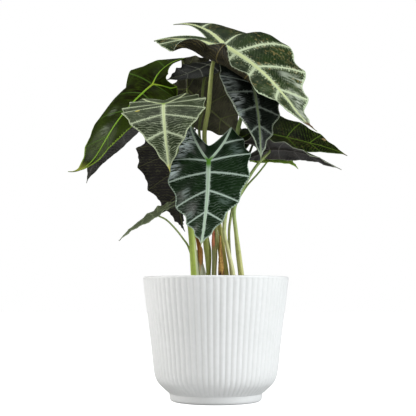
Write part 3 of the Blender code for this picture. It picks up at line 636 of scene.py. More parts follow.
def make_vein_pattern():
    """Masks of a leaf's ribs, side veins, veinlets and margin, from the numbers stored on the blade."""
    inputs = [("Rib width", 4.0), ("Vein width", 2.0), ("Edge width", 1.0), ("Comb", 1.0),
              ("Veinlets", 7.0), ("Slant", 0.8)]
    outputs = ("Rib", "Core", "Joint", "Vein", "Comb", "Halo", "Veinlet", "Ridge", "Edge")
    tree, n, given, out = new_group("leaf_veins", inputs, outputs)
    row, along, line = n.fact("row"), n.fact("along"), n.fact("line")
    rib_gap, vein_gap = n.fact("rib_gap"), n.fact("vein_gap")
    place = n.place()
    torn = n.noise(place, 1100.0, 1.0) * 1.1 + 0.45
    wander = n.noise(place, 300.0, 2.0) - 0.5

    ahead = n.remap(n.fact("to_tip"), 0.0, 0.12, 0.3, 1.0)
    reach = given["Comb"] * n.remap(n.noise(place, 420.0, 1.0), 0.3, 0.7, 0.15, 1.3) * ahead
    edge_width = given["Edge width"] * ahead
    teeth_on_veins = n.tooth(row * 19.0 + wander * 1.6)
    teeth_on_lines = n.tooth(line * 11.0 + wander * 1.6)

    rib_width = given["Rib width"] * (1.0 - along * 0.62)
    rib_share = rib_gap / rib_width
    n.feed(out["Rib"], n.remap(rib_share / (0.75 + torn * 0.25), 0.60, 0.40))
    n.feed(out["Core"], n.remap(rib_share, 0.26, 0.10))
    n.feed(out["Joint"], n.remap(along, 0.10, 0.02))

    vein_share = vein_gap / (given["Vein width"] * (1.0 - row * 0.40))
    n.feed(out["Vein"], n.remap(vein_share / (0.6 + torn * 0.4), 0.62, 0.34))
    beside_vein = n.remap(vein_gap - teeth_on_veins * reach, 0.7, -0.4)
    beside_rib = n.remap(rib_gap - rib_width * 0.5 - teeth_on_lines * reach, 0.3, -0.4)
    n.feed(out["Comb"], n.math("MAXIMUM", beside_vein, beside_rib))
    n.feed(out["Halo"], n.math("MAXIMUM", n.remap(vein_share, 3.0, 0.4), n.remap(rib_share, 2.0, 0.4)))

    tooth = n.tooth((line - row * given["Slant"] + wander * 0.25) * given["Veinlets"])
    strength = n.remap(n.noise(place, 150.0, 2.0), 0.35, 0.65, 0.25, 1.0)
    n.feed(out["Veinlet"], n.remap(tooth, 0.45, 0.95) * strength)
    n.feed(out["Ridge"], 1.0 - tooth)

    fringe = teeth_on_lines * (edge_width * torn)
    n.feed(out["Edge"], n.remap(n.fact("edge_gap") - (edge_width * 0.35 + fringe), 0.35, -0.35))
    return tree


def make_mottle():
    """Broad and fine unevenness, between two colours."""
    inputs = [("Dark", (0.0, 0.0, 0.0)), ("Light", (1.0, 1.0, 1.0)), ("Scale", 40.0)]
    tree, n, given, out = new_group("mottle", inputs, ("Colour", "Tone"))
    broad = n.noise(n.place(), given["Scale"], 3.0, 0.55)
    fine = n.noise(n.place(), given["Scale"] * 16.0, 2.0, 0.6)
    tone = n.remap(broad * 0.7 + fine * 0.3, 0.34, 0.66)
    n.feed(out["Tone"], tone)
    n.feed(out["Colour"], n.mix(tone, given["Dark"], given["Light"]))
    return tree


def make_flecks():
    """Small worn flecks in patches, of two kinds."""
    tree, n, given, out = new_group("flecks", [("Amount", 0.5), ("Scale", 300.0)], ("Tan", "Pale"))
    for kind, offset in (("Tan", 0.0), ("Pale", 3.7)):
        where = n.vector("ADD", n.place(), (offset, offset, offset))
        spots = n.noise(where, given["Scale"], 2.0, 0.6)
        patches = n.remap(n.noise(where, 34.0, 1.0, 0.5), 0.46, 0.62)
        n.feed(out[kind], n.remap(spots - (0.66 - patches * 0.10), 0.0, 0.04) * given["Amount"])
    return tree


def make_painted_patch():
    """A patch of painted highlight or shade round one place, in streaks along the side veins."""
    inputs = [("X", 0.0), ("Y", 0.0), ("Z", 0.0), ("Radius", 0.01)]
    tree, n, given, out = new_group("bloom", inputs, ("Mask",))
    centre = n.first("ShaderNodeCombineXYZ", {0: given["X"], 1: given["Y"], 2: given["Z"]})
    near = n.remap(n.vector("DISTANCE", n.place(), centre) / given["Radius"], 1.0, 0.25)
    streak_place = n.first("ShaderNodeCombineXYZ", {0: n.fact("line") * 12.0, 1: n.fact("row") * 3.0})
    n.feed(out["Mask"], near * n.remap(n.noise(streak_place, 1.0, 2.0, 0.6), 0.39, 0.58))
    return tree


GROUPS = {}


# Leaves

class Blade:
    """A leaf blade: a flat outline bent along its midrib and across it, as in the CAD part."""

    def __init__(self, name, leaf):
        self.stalk_end = np.array(leaf["stalk_end"], float)
        self.width, self.lobe = leaf["width"], leaf["lobe"]
        self.fold, self.curl = np.radians(leaf["fold"]), np.radians(leaf["curl"])
        self.twist, self.sway = math.radians(leaf["twist"]), leaf["sway"]
        self.teeth = MARGIN_TEETH.get(name)
        self.scallop = leaf.get("scallop", SCALLOP)
        self.wave = WAVE * leaf.get("wave", 1.0)
        self.lobe_rib_share = LOBE_RIB_SHARE.get(name, PLAIN_LOBE_RIB_SHARE)
        self.bend_midrib(leaf)
        self.aim(np.array(leaf["tip"], float) - self.stalk_end, looking(*leaf["faces"]))

    def bend_midrib(self, leaf):
        """The midrib's side view, with the stalk at 0 and the tip at 1."""
        along = np.linspace(*MIDRIB_SPAN, MIDRIB_STEPS)
        near_tip = np.clip((along - 0.6) / 0.4, 0, None) ** 2
        droop = math.radians(leaf["droop"]) * along + math.radians(leaf["tip_droop"]) * near_tip
        down = np.where(along > 0, droop, math.radians(leaf["lobe_droop"]) * along)
        step = along[1] - along[0]
        forward, rise = np.cos(down), -np.sin(down)
        x = np.concatenate([[0], np.cumsum((forward[1:] + forward[:-1]) / 2) * step])
        z = np.concatenate([[0], np.cumsum((rise[1:] + rise[:-1]) / 2) * step])
        self.along, self.down = along, down
        self.x = x - np.interp(0, along, x)
        self.z = z - np.interp(0, along, z)

    def aim(self, chord, face):
        """Sets the length and the three directions so that the tip lies where it should."""
        tip_x, tip_z = np.interp(1, self.along, self.x), np.interp(1, self.along, self.z)
        self.length = np.linalg.norm(chord) / math.hypot(tip_x, tip_z)
        line = unit(chord)
        up = unit(face - (face @ line) * line)
        lean = math.atan2(tip_z, tip_x)
        self.across = np.cross(up, line)
        self.ahead = line * math.cos(lean) - up * math.sin(lean)
        self.up = line * math.sin(lean) + up * math.cos(lean)

    def mixed(self, values, side, s):
        """A fold or a curl at s along the midrib, from its values at lobe, stalk and tip."""
        at_lobe, at_stalk, at_tip = values[side]
        toward_tip, toward_lobe = np.clip(s, 0, 1), np.clip(-s / LOBE_BLEND, 0, 1)
        ahead = at_stalk * (1 - toward_tip) + at_tip * toward_tip
        return ahead * (1 - toward_lobe) + at_lobe * toward_lobe

    def place(self, side, s, t, lift):
        """Points in space for flat points: s along the midrib, t across it, lift off the face."""
        down = np.interp(s, self.along, self.down)
        x, z = np.interp(s, self.along, self.x), np.interp(s, self.along, self.z)
        fold, curl = self.mixed(self.fold, side, s), self.mixed(self.curl, side, s)
        out, rise = np.zeros_like(t), np.array(lift, float)
        for k in range(CURL_PARTS):
            slope = fold + curl * (t / HALF_WIDTH * (k + 0.5) / CURL_PARTS) ** 2
            out += np.cos(slope) * t / CURL_PARTS
            rise += np.sin(slope) * t / CURL_PARTS
        if side == 1:
            out = -out
        out += self.sway * np.clip(s, 0, None) ** 2
        normal = self.up * np.cos(down)[..., None] + self.ahead * np.sin(down)[..., None]
        cos_t, sin_t = np.cos(self.twist * s)[..., None], np.sin(self.twist * s)[..., None]
        across = cos_t * self.across + sin_t * normal
        normal = cos_t * normal - sin_t * self.across
        centre = self.ahead * x[..., None] + self.up * z[..., None]
        offset = centre + across * out[..., None] + normal * rise[..., None]
        return self.stalk_end + self.length * offset

    def lobe_rib(self, side, share):
        """Flat point of the rib that runs from the stalk into a lobe."""
        tip = np.array(MARGIN[-1]) * (self.lobe[side], self.width[side])
        bow = (4 * share * (1 - share))[:, None] * np.array([0.0, LOBE_RIB_BOW])
        return share[:, None] * tip + bow

    def outer_lines(self, side, lines):
        """Start on the midrib or lobe rib, and end on the margin, of each line."""
        start = np.zeros((len(lines), 2))
        start[:, 0] = np.interp(lines, range(STALK_LINE + 1), VEIN_STARTS)
        on_lobe = lines > STALK_LINE
        start[on_lobe] = self.lobe_rib(side, lobe_shares(lines)[on_lobe])
        knots = np.array([(s * self.lobe[side] if s < 0 else s, t * self.width[side]) for s, t in MARGIN])
        end = catmull_rom(knots, lines)
        fade = np.interp(lines, (0, 2, 3, 7, 7.5, 8), (0, 0.2, 1, 0.8, 0.2, 0))
        dip = self.scallop * np.sin(np.pi * lines) ** 2 * fade
        if self.teeth:
            size, first = self.teeth
            present = np.interp(lines, (first, first + 1, 7, 8), (0, 1, 1, 0))
            dip += size * np.abs(np.sin(2 * np.pi * lines)) * present
        way = start - end
        way /= np.maximum(np.linalg.norm(way, axis=1), 1e-9)[:, None]
        return start, end + way * dip[:, None]

    def inner_lines(self, side, shares):
        """Start on the lobe rib, and end on the notch's margin, of each line."""
        scale = (self.lobe[side], self.width[side])
        pull, tip = np.array(NOTCH_PULL) * scale, np.array(MARGIN[-1]) * scale
        f = shares[:, None]
        end = (1 - f) ** 2 * np.array(NOTCH) + 2 * f * (1 - f) * pull + f**2 * tip
        return self.lobe_rib(side, shares), end

    def outer_flat(self, side, lines, rows):
        """Flat points and lift of the part outside the ribs."""
        start, end = self.outer_lines(side, lines)
        width = np.linalg.norm(end - start, axis=1)[:, None]
        bow = np.interp(lines, (0, 2, 7, 8), (0, 1, 1, 0))[:, None] * np.sin(np.pi * rows)
        s = start[:, :1] * (1 - rows) + end[:, :1] * rows - VEIN_BOW * width * bow
        t = start[:, 1:] * (1 - rows) + end[:, 1:] * rows
        ends = np.interp(lines, (0, 2, 3, 7.3, 8), (0, 0.2, 1, 1, 0))[:, None]
        at = lines[:, None]
        ripple = np.cos(2 * np.pi * at) + 0.8 * np.sin(2 * np.pi * at / 2.7 + 2.1 * side)
        quilt = QUILT * np.sin(np.pi * at) ** 2 * np.sin(np.pi * rows)
        frill = FRILL * self.wave * np.sin(2 * np.pi * at * 3.0 + side) * rows**6
        return s, np.maximum(t, 0), ends * (self.wave * ripple * rows**2 + quilt + frill)

    def inner_flat(self, side, shares, rows):
        """Flat points and lift of the part between a lobe's rib and the notch."""
        start, end = self.inner_lines(side, shares)
        s = start[:, :1] * (1 - rows) + end[:, :1] * rows
        t = start[:, 1:] * (1 - rows) + end[:, 1:] * rows
        return s, np.maximum(t, 0), WAVE * np.sin(np.pi * shares)[:, None] * rows**2

    def flat_curves(self, side):
        """Flat polylines of the ribs, the side veins and the margin of one half."""
        many = np.linspace(0, 1, 33)
        ribs = [np.column_stack([many, np.zeros(len(many))]), self.lobe_rib(side, many)]
        rows = np.linspace(0, 1, 17)
        veins = []
        for line in [*range(FIRST_VEIN, STALK_LINE), STALK_LINE + 0.001, STALK_LINE + 1]:
            s, t, _ = self.outer_flat(side, np.array([float(line)]), rows)
            veins.append(np.column_stack([s[0], t[0]]))
        outer = self.outer_lines(side, np.linspace(0, LOBE_TIP_LINE, 161))[1]
        inner = self.inner_lines(side, many)[1]
        return ribs, veins, [outer, inner]


def lobe_shares(lines):
    """How far along the lobe's rib each line starts."""
    return np.interp(lines, (STALK_LINE, STALK_LINE + 1, LOBE_TIP_LINE), (0, LOBE_BRANCH, 1))


def gap_to(points, curves):
    """Distance from each flat point to the nearest of some polylines."""
    nearest = np.full(len(points), 1e9)
    for curve in curves:
        for a, b in zip(curve, curve[1:]):
            way = b - a
            share = np.clip(((points - a) @ way) / max(way @ way, 1e-12), 0, 1)
            gap = np.linalg.norm(points - a - share[:, None] * way, axis=1)
            nearest = np.minimum(nearest, gap)
    return nearest


def blade_thickness(facts):
    """Thickness as a share of the midrib's, from gaps in mm: raised at ribs and veins, thin at the margin."""
    rib_height = (RIB_THICK - EDGE_THICK) * (1 - 0.85 * facts["along"])
    rib_wide = 0.55 + 1.1 * (1 - facts["along"])
    rib = rib_height * np.exp(-(facts["rib_gap"] / rib_wide) ** 2)
    vein_height = VEIN_THICK - EDGE_THICK
    vein = vein_height * np.exp(-(facts["vein_gap"] / VEIN_SPREAD) ** 2) * (1 - 0.75 * facts["row"])
    body = BODY_THICK * np.clip(facts["edge_gap"] / BODY_FROM_EDGE, 0, 1)
    body = body * np.exp(-(facts["rib_gap"] / BODY_FROM_RIB))
    return (EDGE_THICK + np.maximum(rib, vein) + body) / RIB_THICK


def add_patch(bm, layers, blade, side, lines, rows, flat, part):
    """One grid of a blade, with the facts that its material and thickness read."""
    s, t, lift = flat
    points = blade.place(side, s, t, lift)
    (midrib, lobe_rib), veins, margin = blade.flat_curves(side)
    spots = np.column_stack([s.ravel(), t.ravel()])
    mm = blade.length
    facts = {
        "rib_gap": np.minimum(gap_to(spots, [midrib]), gap_to(spots, [lobe_rib]) / blade.lobe_rib_share) * mm,
        "vein_gap": gap_to(spots, veins) * mm if part == "outer" else np.full(len(spots), FAR_FROM_VEINS),
        "edge_gap": gap_to(spots, margin) * mm,
        "row": np.broadcast_to(rows, s.shape).ravel(),
        "along": np.clip(np.where(s >= 0, s, -1.3 * s), 0, 1).ravel(),
        "to_tip": np.clip(s, 0, 1).ravel(),
        "line": np.broadcast_to(lines[:, None], s.shape).ravel(),
    }
    facts["thick"] = blade_thickness(facts)
    verts = []
    for index, point in enumerate(points.reshape(-1, 3)):
        vert = bm.verts.new(point * MM)
        for key, layer in layers.items():
            vert[layer] = float(facts[key][index])
        verts.append(vert)
    across = len(rows)
    for i in range(len(lines) - 1):
        for j in range(across - 1):
            a = i * across + j
            bm.faces.new((verts[a], verts[a + across], verts[a + across + 1], verts[a + 1]))


def line_places(first, last):
    return np.array([k + f for k in range(first, last) for f in LINE_STEPS] + [last], float)


def make_blade(name):
    """A blade with its ribs raised below, thin at the margin, painted from the facts on its mesh."""
    blade = Blade(name, LEAVES[name])
    rows = np.array(ROW_STEPS)
    bm = bmesh.new()
    layers = {key: bm.verts.layers.float.new(key) for key in BLADE_FACTS}
    for side in (0, 1):
        lines = line_places(0, LOBE_TIP_LINE)
        add_patch(bm, layers, blade, side, lines, rows, blade.outer_flat(side, lines, rows), "outer")
        lines = line_places(STALK_LINE, LOBE_TIP_LINE)
        flat = blade.inner_flat(side, lobe_shares(lines), rows)
        add_patch(bm, layers, blade, side, lines, rows, flat, "inner")
    bmesh.ops.remove_doubles(bm, verts=bm.verts, dist=BLADE_WELD * MM)
    bmesh.ops.dissolve_degenerate(bm, edges=bm.edges, dist=FINE_WELD * MM)
    bmesh.ops.recalc_face_normals(bm, faces=bm.faces)
    facing = sum((f.normal * f.calc_area() for f in bm.faces), Vector())
    if facing.dot(Vector(blade.up)) < 0:
        bmesh.ops.reverse_faces(bm, faces=bm.faces)
    shares = [vert[layers["thick"]] for vert in bm.verts]
    obj = mesh_object("leaf_" + name, bm, smooth=True)
    group = obj.vertex_groups.new(name="thickness")
    for index, share in enumerate(shares):
        group.add([index], min(share, 1.0), "REPLACE")
    for material in leaf_materials(name):
        obj.data.materials.append(material)
    shell = obj.modifiers.new("thickness", "SOLIDIFY")
    shell.thickness = RIB_THICK * MM
    shell.offset = -1
    shell.vertex_group = group.name
    shell.use_rim = True
    shell.material_offset = 1
    shell.material_offset_rim = 2
    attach(obj, "root")
    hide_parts("blade_" + name)
    return blade


def leaf_materials(name):
    """Upper face, underside and cut edge of one leaf."""
    look = {**SHARED_LOOK, **LOOKS[name]}
    return upper_material(name, look), underside_material(name, look), margin_material(name, look)


def upper_material(name, look):
    """The face with its veins, streaked patches of painted highlight and shade, flecks and spots, one over
    the other.
    """
    material, n, shader = new_material(name + "_upper_face", specular=look["sheen"])
    widths = {key: look[key] for key in ("rib_width", "vein_width", "edge_width", "comb", "slant")}
    masks = n.group(GROUPS["veins"], **widths)
    tones = n.mottle(look["dark"], look["light"], 45.0)
    spread = n.remap(n.fact("to_tip"), 0.2, 0.7, look["spread"], min(1.0, look["spread"] + 0.5))
    near_vein = n.math("MAXIMUM", spread, masks["Halo"])
    colour = tones["Colour"]
    if look["glow"]:
        uneven = n.remap(n.noise(n.place(), 200.0, 2.0), 0.35, 0.6, 0.3, 1.0)
        colour = n.mix(masks["Halo"] * uneven * look["glow"], colour, look["vein"])
    colour = n.mix(masks["Veinlet"] * near_vein * look["veinlets"], colour, look["vein"])
    if look["flecks"]:
        flecks = n.group(GROUPS["flecks"], amount=look["flecks"])
        colour = n.mix(flecks["Pale"], colour, FLECK_PALE)
        colour = n.mix(flecks["Tan"], colour, FLECK_TAN)
    # painted highlights and painted shade, laid over the leaf's own colour
    for (x, y, z), radius, streak_colour, strength in PAINTED_HIGHLIGHTS_AND_SHADE.get(name, ()):
        bloom = n.group(GROUPS["bloom"], x=x * MM, y=y * MM, z=z * MM, radius=radius * MM)
        colour = n.mix(bloom["Mask"] * strength, colour, streak_colour)
    colour = n.mix(masks["Comb"] * 0.70, colour, look["vein"])
    colour = n.mix(masks["Vein"] * 0.95, colour, look["vein"])
    rib = n.mix(masks["Core"] * 0.25, look["rib"], look["joint"])
    rib = n.mix(masks["Joint"], rib, look["joint"])
    colour = n.mix(masks["Rib"], colour, rib)
    colour = n.mix(masks["Edge"] * 0.90, colour, look["edge"])
    colour = n.mix(n.remap(n.fact("to_tip"), *look["tip_from"]), colour, look["tip"])
    for place, radius, spot_colour in SPOTS.get(name, ()):
        gap = n.vector("DISTANCE", n.place(), tuple(v * MM for v in place))
        torn = n.noise(n.place(), 500.0, 2.0) * (radius * MM)
        colour = n.mix(n.remap(gap + torn, radius * 1.35 * MM, radius * MM), colour, spot_colour)
    n.feed(shader["Base Color"], colour)
    n.feed(shader["Roughness"], look["gloss"] + tones["Tone"] * 0.03)
    height = masks["Ridge"] * 0.15 - n.math("MAXIMUM", masks["Rib"], masks["Vein"]) * 0.9
    height = height + n.noise(n.place(), 70.0, 1.0) * 1.2
    n.bump(shader, 0.5, 0.0005, height * n.remap(n.fact("to_tip"), 0.0, 0.12, 0.25, 1.0))
    return material


def underside_material(name, look):
    material, n, shader = new_material(name + "_underside", specular=0.18)
    widths = {key: look[key] * 0.7 for key in ("rib_width", "vein_width")}
    masks = n.group(GROUPS["veins"], slant=look["slant"], **widths)
    tones = n.mottle(look["under"], look["under_light"], 60.0)
    colour = n.mix(masks["Veinlet"] * 0.5, tones["Colour"], look["under_vein"])
    colour = n.mix(n.math("MAXIMUM", masks["Vein"], masks["Rib"]) * 0.9, colour, look["under_vein"])
    n.feed(shader["Base Color"], n.mix(masks["Edge"] * 0.5, colour, look["edge"]))
    n.feed(shader["Roughness"], 0.45 + tones["Tone"] * 0.15)
    n.bump(shader, 0.7, 0.00045, masks["Veinlet"] * 0.5 + n.noise(n.place(), 900.0, 2.0) * 0.6)
    return material


def margin_material(name, look):
    material, n, shader = new_material(name + "_margin")
    tones = n.mottle(tuple(0.6 * c for c in look["edge"]), look["edge"], 120.0)
    n.feed(shader["Base Color"], tones["Colour"])
    n.feed(shader["Roughness"], 0.4 + tones["Tone"] * 0.15)
    return material


# Geometry Nodes

def new_tree(name, inputs):
    """A Geometry Nodes tree with named inputs; returns it with its tools, its inputs and its output."""
    tree = bpy.data.node_groups.new(name, "GeometryNodeTree")
    tree.interface.new_socket(name="Geometry", in_out="INPUT", socket_type="NodeSocketGeometry")
    kinds = {int: "NodeSocketInt", float: "NodeSocketFloat", type(None): "NodeSocketMaterial"}
    for socket, value in inputs:
        made = tree.interface.new_socket(name=socket, in_out="INPUT", socket_type=kinds[type(value)])
        if value is not None:
            made.default_value = value
    tree.interface.new_socket(name="Geometry", in_out="OUTPUT", socket_type="NodeSocketGeometry")
    n = Nodes(tree)
    return tree, n, n.named(n.add("NodeGroupInput").outputs), n.add("NodeGroupOutput").inputs[0]


def grown(obj, tree, **values):
    """Runs a tree on an object with its inputs set, and keeps the result as a plain mesh."""
    modifier = obj.modifiers.new("grow", "NODES")
    modifier.node_group = tree
    for item in tree.interface.items_tree:
        key = item.name.lower().replace(" ", "_")
        if item.in_out == "INPUT" and key in values:
            modifier[item.identifier] = values[key]
    bpy.context.view_layer.update()
    graph = bpy.context.evaluated_depsgraph_get()
    mesh = bpy.data.meshes.new_from_object(obj.evaluated_get(graph))
    mesh.name = obj.name
    obj.modifiers.remove(modifier)
    obj.data = mesh


def line_object(name, points, facts):
    """A mesh of one line of points in millimetres, with numbers stored at each point."""
    mesh = bpy.data.meshes.new(name)
    points = np.asarray(points, float) * MM
    mesh.from_pydata([tuple(p) for p in points], [(k, k + 1) for k in range(len(points) - 1)], [])
    for key, values in facts.items():
        mesh.attributes.new(key, "FLOAT", "POINT").data.foreach_set("value", np.asarray(values, float))
    return new_object(name, mesh)


def stored(n, curve, name):
    """Stores how far along a curve each of its points lies."""
    share = n.add("GeometryNodeSplineParameter").outputs["Factor"]
    feeds = {"Geometry": curve, "Name": name, "Value": share}
    return n.geo("StoreNamedAttribute", feeds, data_type="FLOAT", domain="POINT")


def make_stalk_tree():
    """A stalk along a line: round, with fine lengthwise ridges, its radius stored at each point."""
    inputs = [("Rings", 90), ("Sides", 20), ("Ridge", 0.00008), ("Material", None)]
    tree, n, given, out = new_tree("leaf_stalk", inputs)
    curve = n.geo("MeshToCurve", {"Mesh": given["Geometry"]})
    curve = n.geo("ResampleCurve", {"Curve": curve, "Count": given["Rings"]})
    curve = stored(n, curve, "up_stalk")
    ring = n.geo("CurvePrimitiveCircle", {"Resolution": given["Sides"], "Radius": 1.0})
    ring = stored(n, ring, "round_stalk")
    radius = n.geo("InputNamedAttribute", {"Name": "radius_here"}, data_type="FLOAT")
    feeds = {"Curve": curve, "Profile Curve": ring, "Scale": radius, "Fill Caps": True}
    tube = n.geo("CurveToMesh", feeds)
    flat = n.vector("MULTIPLY", n.geo("InputPosition"), (1.0, 1.0, 0.12))
    bumps = n.noise(flat, 900.0, 1.0) - 0.5
    push = n.vector("SCALE", n.geo("InputNormal"), bumps * given["Ridge"])
    tube = n.geo("SetPosition", {"Geometry": tube, "Offset": push})
    tube = n.geo("SetShadeSmooth", {"Geometry": tube})
    real = n.geo("RealizeInstances", {"Geometry": tube})
    n.coat(out, real, given)
    return tree


def make_flute_tree():
    """Repeats one flute's sector of the pot around the axis, and joins the sectors."""
    tree, n, given, out = new_tree("pot_flutes", [("Flutes", FLUTES), ("Material", None)])
    centre = n.geo("Points", {"Count": given["Flutes"]})
    angle = n.math("MULTIPLY", n.geo("InputIndex"), 2 * math.pi) / given["Flutes"]
    turn = n.first("FunctionNodeAxisAngleToRotation", {"Axis": (0.0, 0.0, 1.0), "Angle": angle})
    feeds = {"Points": centre, "Instance": given["Geometry"], "Rotation": turn}
    real = n.geo("RealizeInstances", {"Geometry": n.geo("InstanceOnPoints", feeds)})
    joined = n.geo("MergeByDistance", {"Geometry": real, "Distance": 0.00001})
    smooth = n.geo("SetShadeSmooth", {"Geometry": joined})
    n.coat(out, smooth, given)
    return tree


def make_scatter_tree(name, size, stretch, seed):
    """Scatters small lumps over a surface, each turned and sized at random, and leaves the surface out."""
    inputs = [("Density", 10000.0), ("Smallest", size[0]), ("Largest", size[1]), ("Material", None)]
    tree, n, given, out = new_tree(name, inputs)
    feeds = {"Mesh": given["Geometry"], "Density": given["Density"], "Seed": seed}
    points = n.geo("DistributePointsOnFaces", feeds)
    lump = n.geo("MeshIcoSphere", {"Radius": 1.0, "Subdivisions": 1})
    feeds = {"Min": (0.0, 0.0, 0.0), "Max": (6.3, 6.3, 6.3), "Seed": seed + 1}
    spin = n.first("FunctionNodeRandomValue", feeds, data_type="FLOAT_VECTOR")
    span = n.add("FunctionNodeRandomValue", {"Seed": seed + 2}, data_type="FLOAT")
    n.feed(span.inputs[2], given["Smallest"])
    n.feed(span.inputs[3], given["Largest"])
    shape = n.vector("SCALE", stretch, span.outputs[1])
    feeds = {"Points": points, "Instance": lump, "Rotation": spin, "Scale": shape}
    real = n.geo("RealizeInstances", {"Geometry": n.geo("InstanceOnPoints", feeds)})
    place = n.geo("InputPosition")
    jag = n.add("ShaderNodeTexNoise", {"Vector": place, "Scale": 1500.0, "Detail": 1.0}).outputs["Color"]
    push = n.vector("SCALE", n.vector("SUBTRACT", jag, (0.5, 0.5, 0.5)), given["Largest"] * 0.9)
    real = n.geo("SetPosition", {"Geometry": real, "Offset": push})
    n.coat(out, real, given)
    return tree


# Stalks

def stalk_material(name, foot, top, wing=None):
    """Pale at the foot, greener up the stalk, with lengthwise streaks and darker cross blotches."""
    material, n, shader = new_material("stalk_" + name)
    place = n.place()
    up = n.fact("up_stalk")
    streaks = n.noise(n.stretched(place, (1.0, 1.0, 0.06)), 900.0, 2.0, 0.6)
    blotches = n.noise(n.stretched(place, (0.5, 0.5, 1.0)), 240.0, 3.0, 0.6)
    base = n.mix(n.remap(up, 0.12, 0.62), foot, top)
    dark = tuple(0.55 * a for a in top)
    colour = n.mix(n.remap(blotches, 0.52, 0.75, 0.0, 0.45), base, dark)
    pale = tuple(min(1.0, 1.45 * a + 0.02) for a in foot)
    colour = n.mix(n.remap(streaks, 0.5, 0.75, 0.0, 0.40), colour, pale)
    if wing:
        centre, half, wing_colour = wing
        away = n.math("ABSOLUTE", n.math("FRACT", n.fact("round_stalk") + (0.5 - centre)) - 0.5)
        on_wing = n.remap(away, half, half * 0.7) * n.remap(up, 0.30, 0.18)
        colour = n.mix(on_wing, colour, wing_colour)
    n.feed(shader["Base Color"], colour)
    n.feed(shader["Roughness"], n.remap(streaks, 0.3, 0.7, 0.32, 0.48))
    n.bump(shader, 0.4, 0.0002, streaks)
    return material


def make_stalk(name, blade, tree):
    points, radii, foot, top = STALKS[name]
    clear = END_CLEAR_STEEP if name in STEEP_STALKS else END_CLEAR
    end = blade.stalk_end - blade.up * (RIB_THICK + GAP + clear * radii[-1])
    seat = blade.stalk_end - blade.up * RIB_THICK * SEAT_SHARE
    route = points + [tuple(end)]
    where = np.linspace(0, len(route) - 1, STALK_STEPS)
    path = np.vstack([catmull_rom(route, where), seat])
    widths = np.append(np.interp(where, range(len(radii)), radii), radii[-1] * SEAT_RADIUS_SHARE)
    obj = line_object("petiole_" + name, path, {"radius_here": widths * MM})
    grown(obj, tree, material=stalk_material(name, foot, top, WINGS.get(name)))
    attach(obj, "root")
    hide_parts("stalk_" + name)


# Pot

def pot_profile():
    """Height, radius and flute share of the pot's outline, from the axis below to the axis inside."""
    side = np.array(POT_SIDE)
    heights = POT_SIDE_HEIGHTS
    smooth = catmull_rom(side, np.interp(heights, side[:, 0], range(len(side))))
    radii = np.interp(heights, smooth[:, 0], smooth[:, 1])
    deep = np.interp(heights, FLUTES_START, (0.35, 1.0)) * np.interp(heights, FLUTES_FADE, (1.0, 0.0))
    outline = [(z, r, 0.0) for z, r in POT_FOOT]
    outline += list(zip(heights, radii, deep))
    return outline + [(z, r, 0.0) for z, r in POT_LIP + POT_INSIDE + POT_FLOOR]


def make_pot():
    """One flute's sector, swept round by the flute tree."""
    bm = bmesh.new()
    groove = bm.verts.layers.float.new("groove")
    grid = []
    for z, r, deep in pot_profile():
        line = []
        for k in range(FLUTE_COLUMNS + 1):
            u = k / FLUTE_COLUMNS
            reed = abs(math.sin(math.pi * u)) ** 0.8
            radius = max(r - FLUTE_DEPTH * deep * (1 - reed), 0.0)
            angle = 2 * math.pi * (u - 0.5) / FLUTES
            vert = bm.verts.new((radius * math.cos(angle) * MM, radius * math.sin(angle) * MM, z * MM))
            vert[groove] = deep * (1 - reed)
            line.append(vert)
        grid.append(line)
    add_quads(bm, grid)
    bmesh.ops.remove_doubles(bm, verts=bm.verts, dist=FINE_WELD * MM)
    pot = mesh_object("cover_pot", bm)
    grown(pot, make_flute_tree(), material=pot_material())
    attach(pot, "root")
    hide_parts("pot")


def pot_material():
    """White satin ceramic, a little greyer in the grooves by painted shade, with a fine orange-peel skin."""
    material, n, shader = new_material("white_fluted_ceramic")
    tones = n.mottle((0.80, 0.81, 0.80), (0.86, 0.865, 0.86), 14.0)
    # painted shade, greyer where the flutes cut deepest
    groove_shade = n.remap(n.fact("groove"), 0.35, 0.75, 0.0, 0.12)
    n.feed(shader["Base Color"], n.mix(groove_shade, tones["Colour"], (0.62, 0.63, 0.62)))
    n.feed(shader["Roughness"], 0.38 + tones["Tone"] * 0.10)
    n.bump(shader, 0.15, 0.0002, n.noise(n.place(), 700.0, 2.0))
    return material


# Soil and the old growth at the foot

def soil_material():
    material, n, shader = new_material("potting_soil", 0.95)
    tones = n.mottle((0.010, 0.006, 0.004), (0.055, 0.033, 0.020), 120.0)
    n.feed(shader["Base Color"], tones["Colour"])
    n.bump(shader, 0.9, 0.0008, n.noise(n.place(), 900.0, 4.0))
    return material


def bark_material(name, dark, light, foot=None, change=(0, 1)):
    """Fibrous and matt. Below the two heights of the change, in mm, it takes the colour of its foot."""
    material, n, shader = new_material(name, 0.85)
    fibres = n.noise(n.stretched(n.place(), (1.0, 1.0, 0.15)), 700.0, 4.0, 0.65)
    colour = n.mix(n.remap(fibres, 0.35, 0.65), dark, light)
    if foot:
        height = n.add("ShaderNodeSeparateXYZ", {0: n.place()}).outputs["Z"]
        at = n.remap((fibres - 0.5) * 0.03 + height, change[0] * MM, change[1] * MM)
        shaded = tuple(0.8 * c for c in foot)
        colour = n.mix(at, n.mix(fibres, shaded, foot), colour)
    n.feed(shader["Base Color"], colour)
    n.bump(shader, 0.8, 0.0005, fibres)
    return material


def perlite_material():
    material, n, shader = new_material("perlite", 0.9)
    tones = n.mottle((0.45, 0.43, 0.38), (0.75, 0.74, 0.70), 500.0)
    n.feed(shader["Base Color"], tones["Colour"])
    return material


def soil_radius(height):
    """Radius of the soil's side, just clear of the pot's inside."""
    heights, radii = zip(*reversed(POT_INSIDE[:-1]))
    return float(np.interp(height, heights, radii)) - GAP - SOIL_SLACK


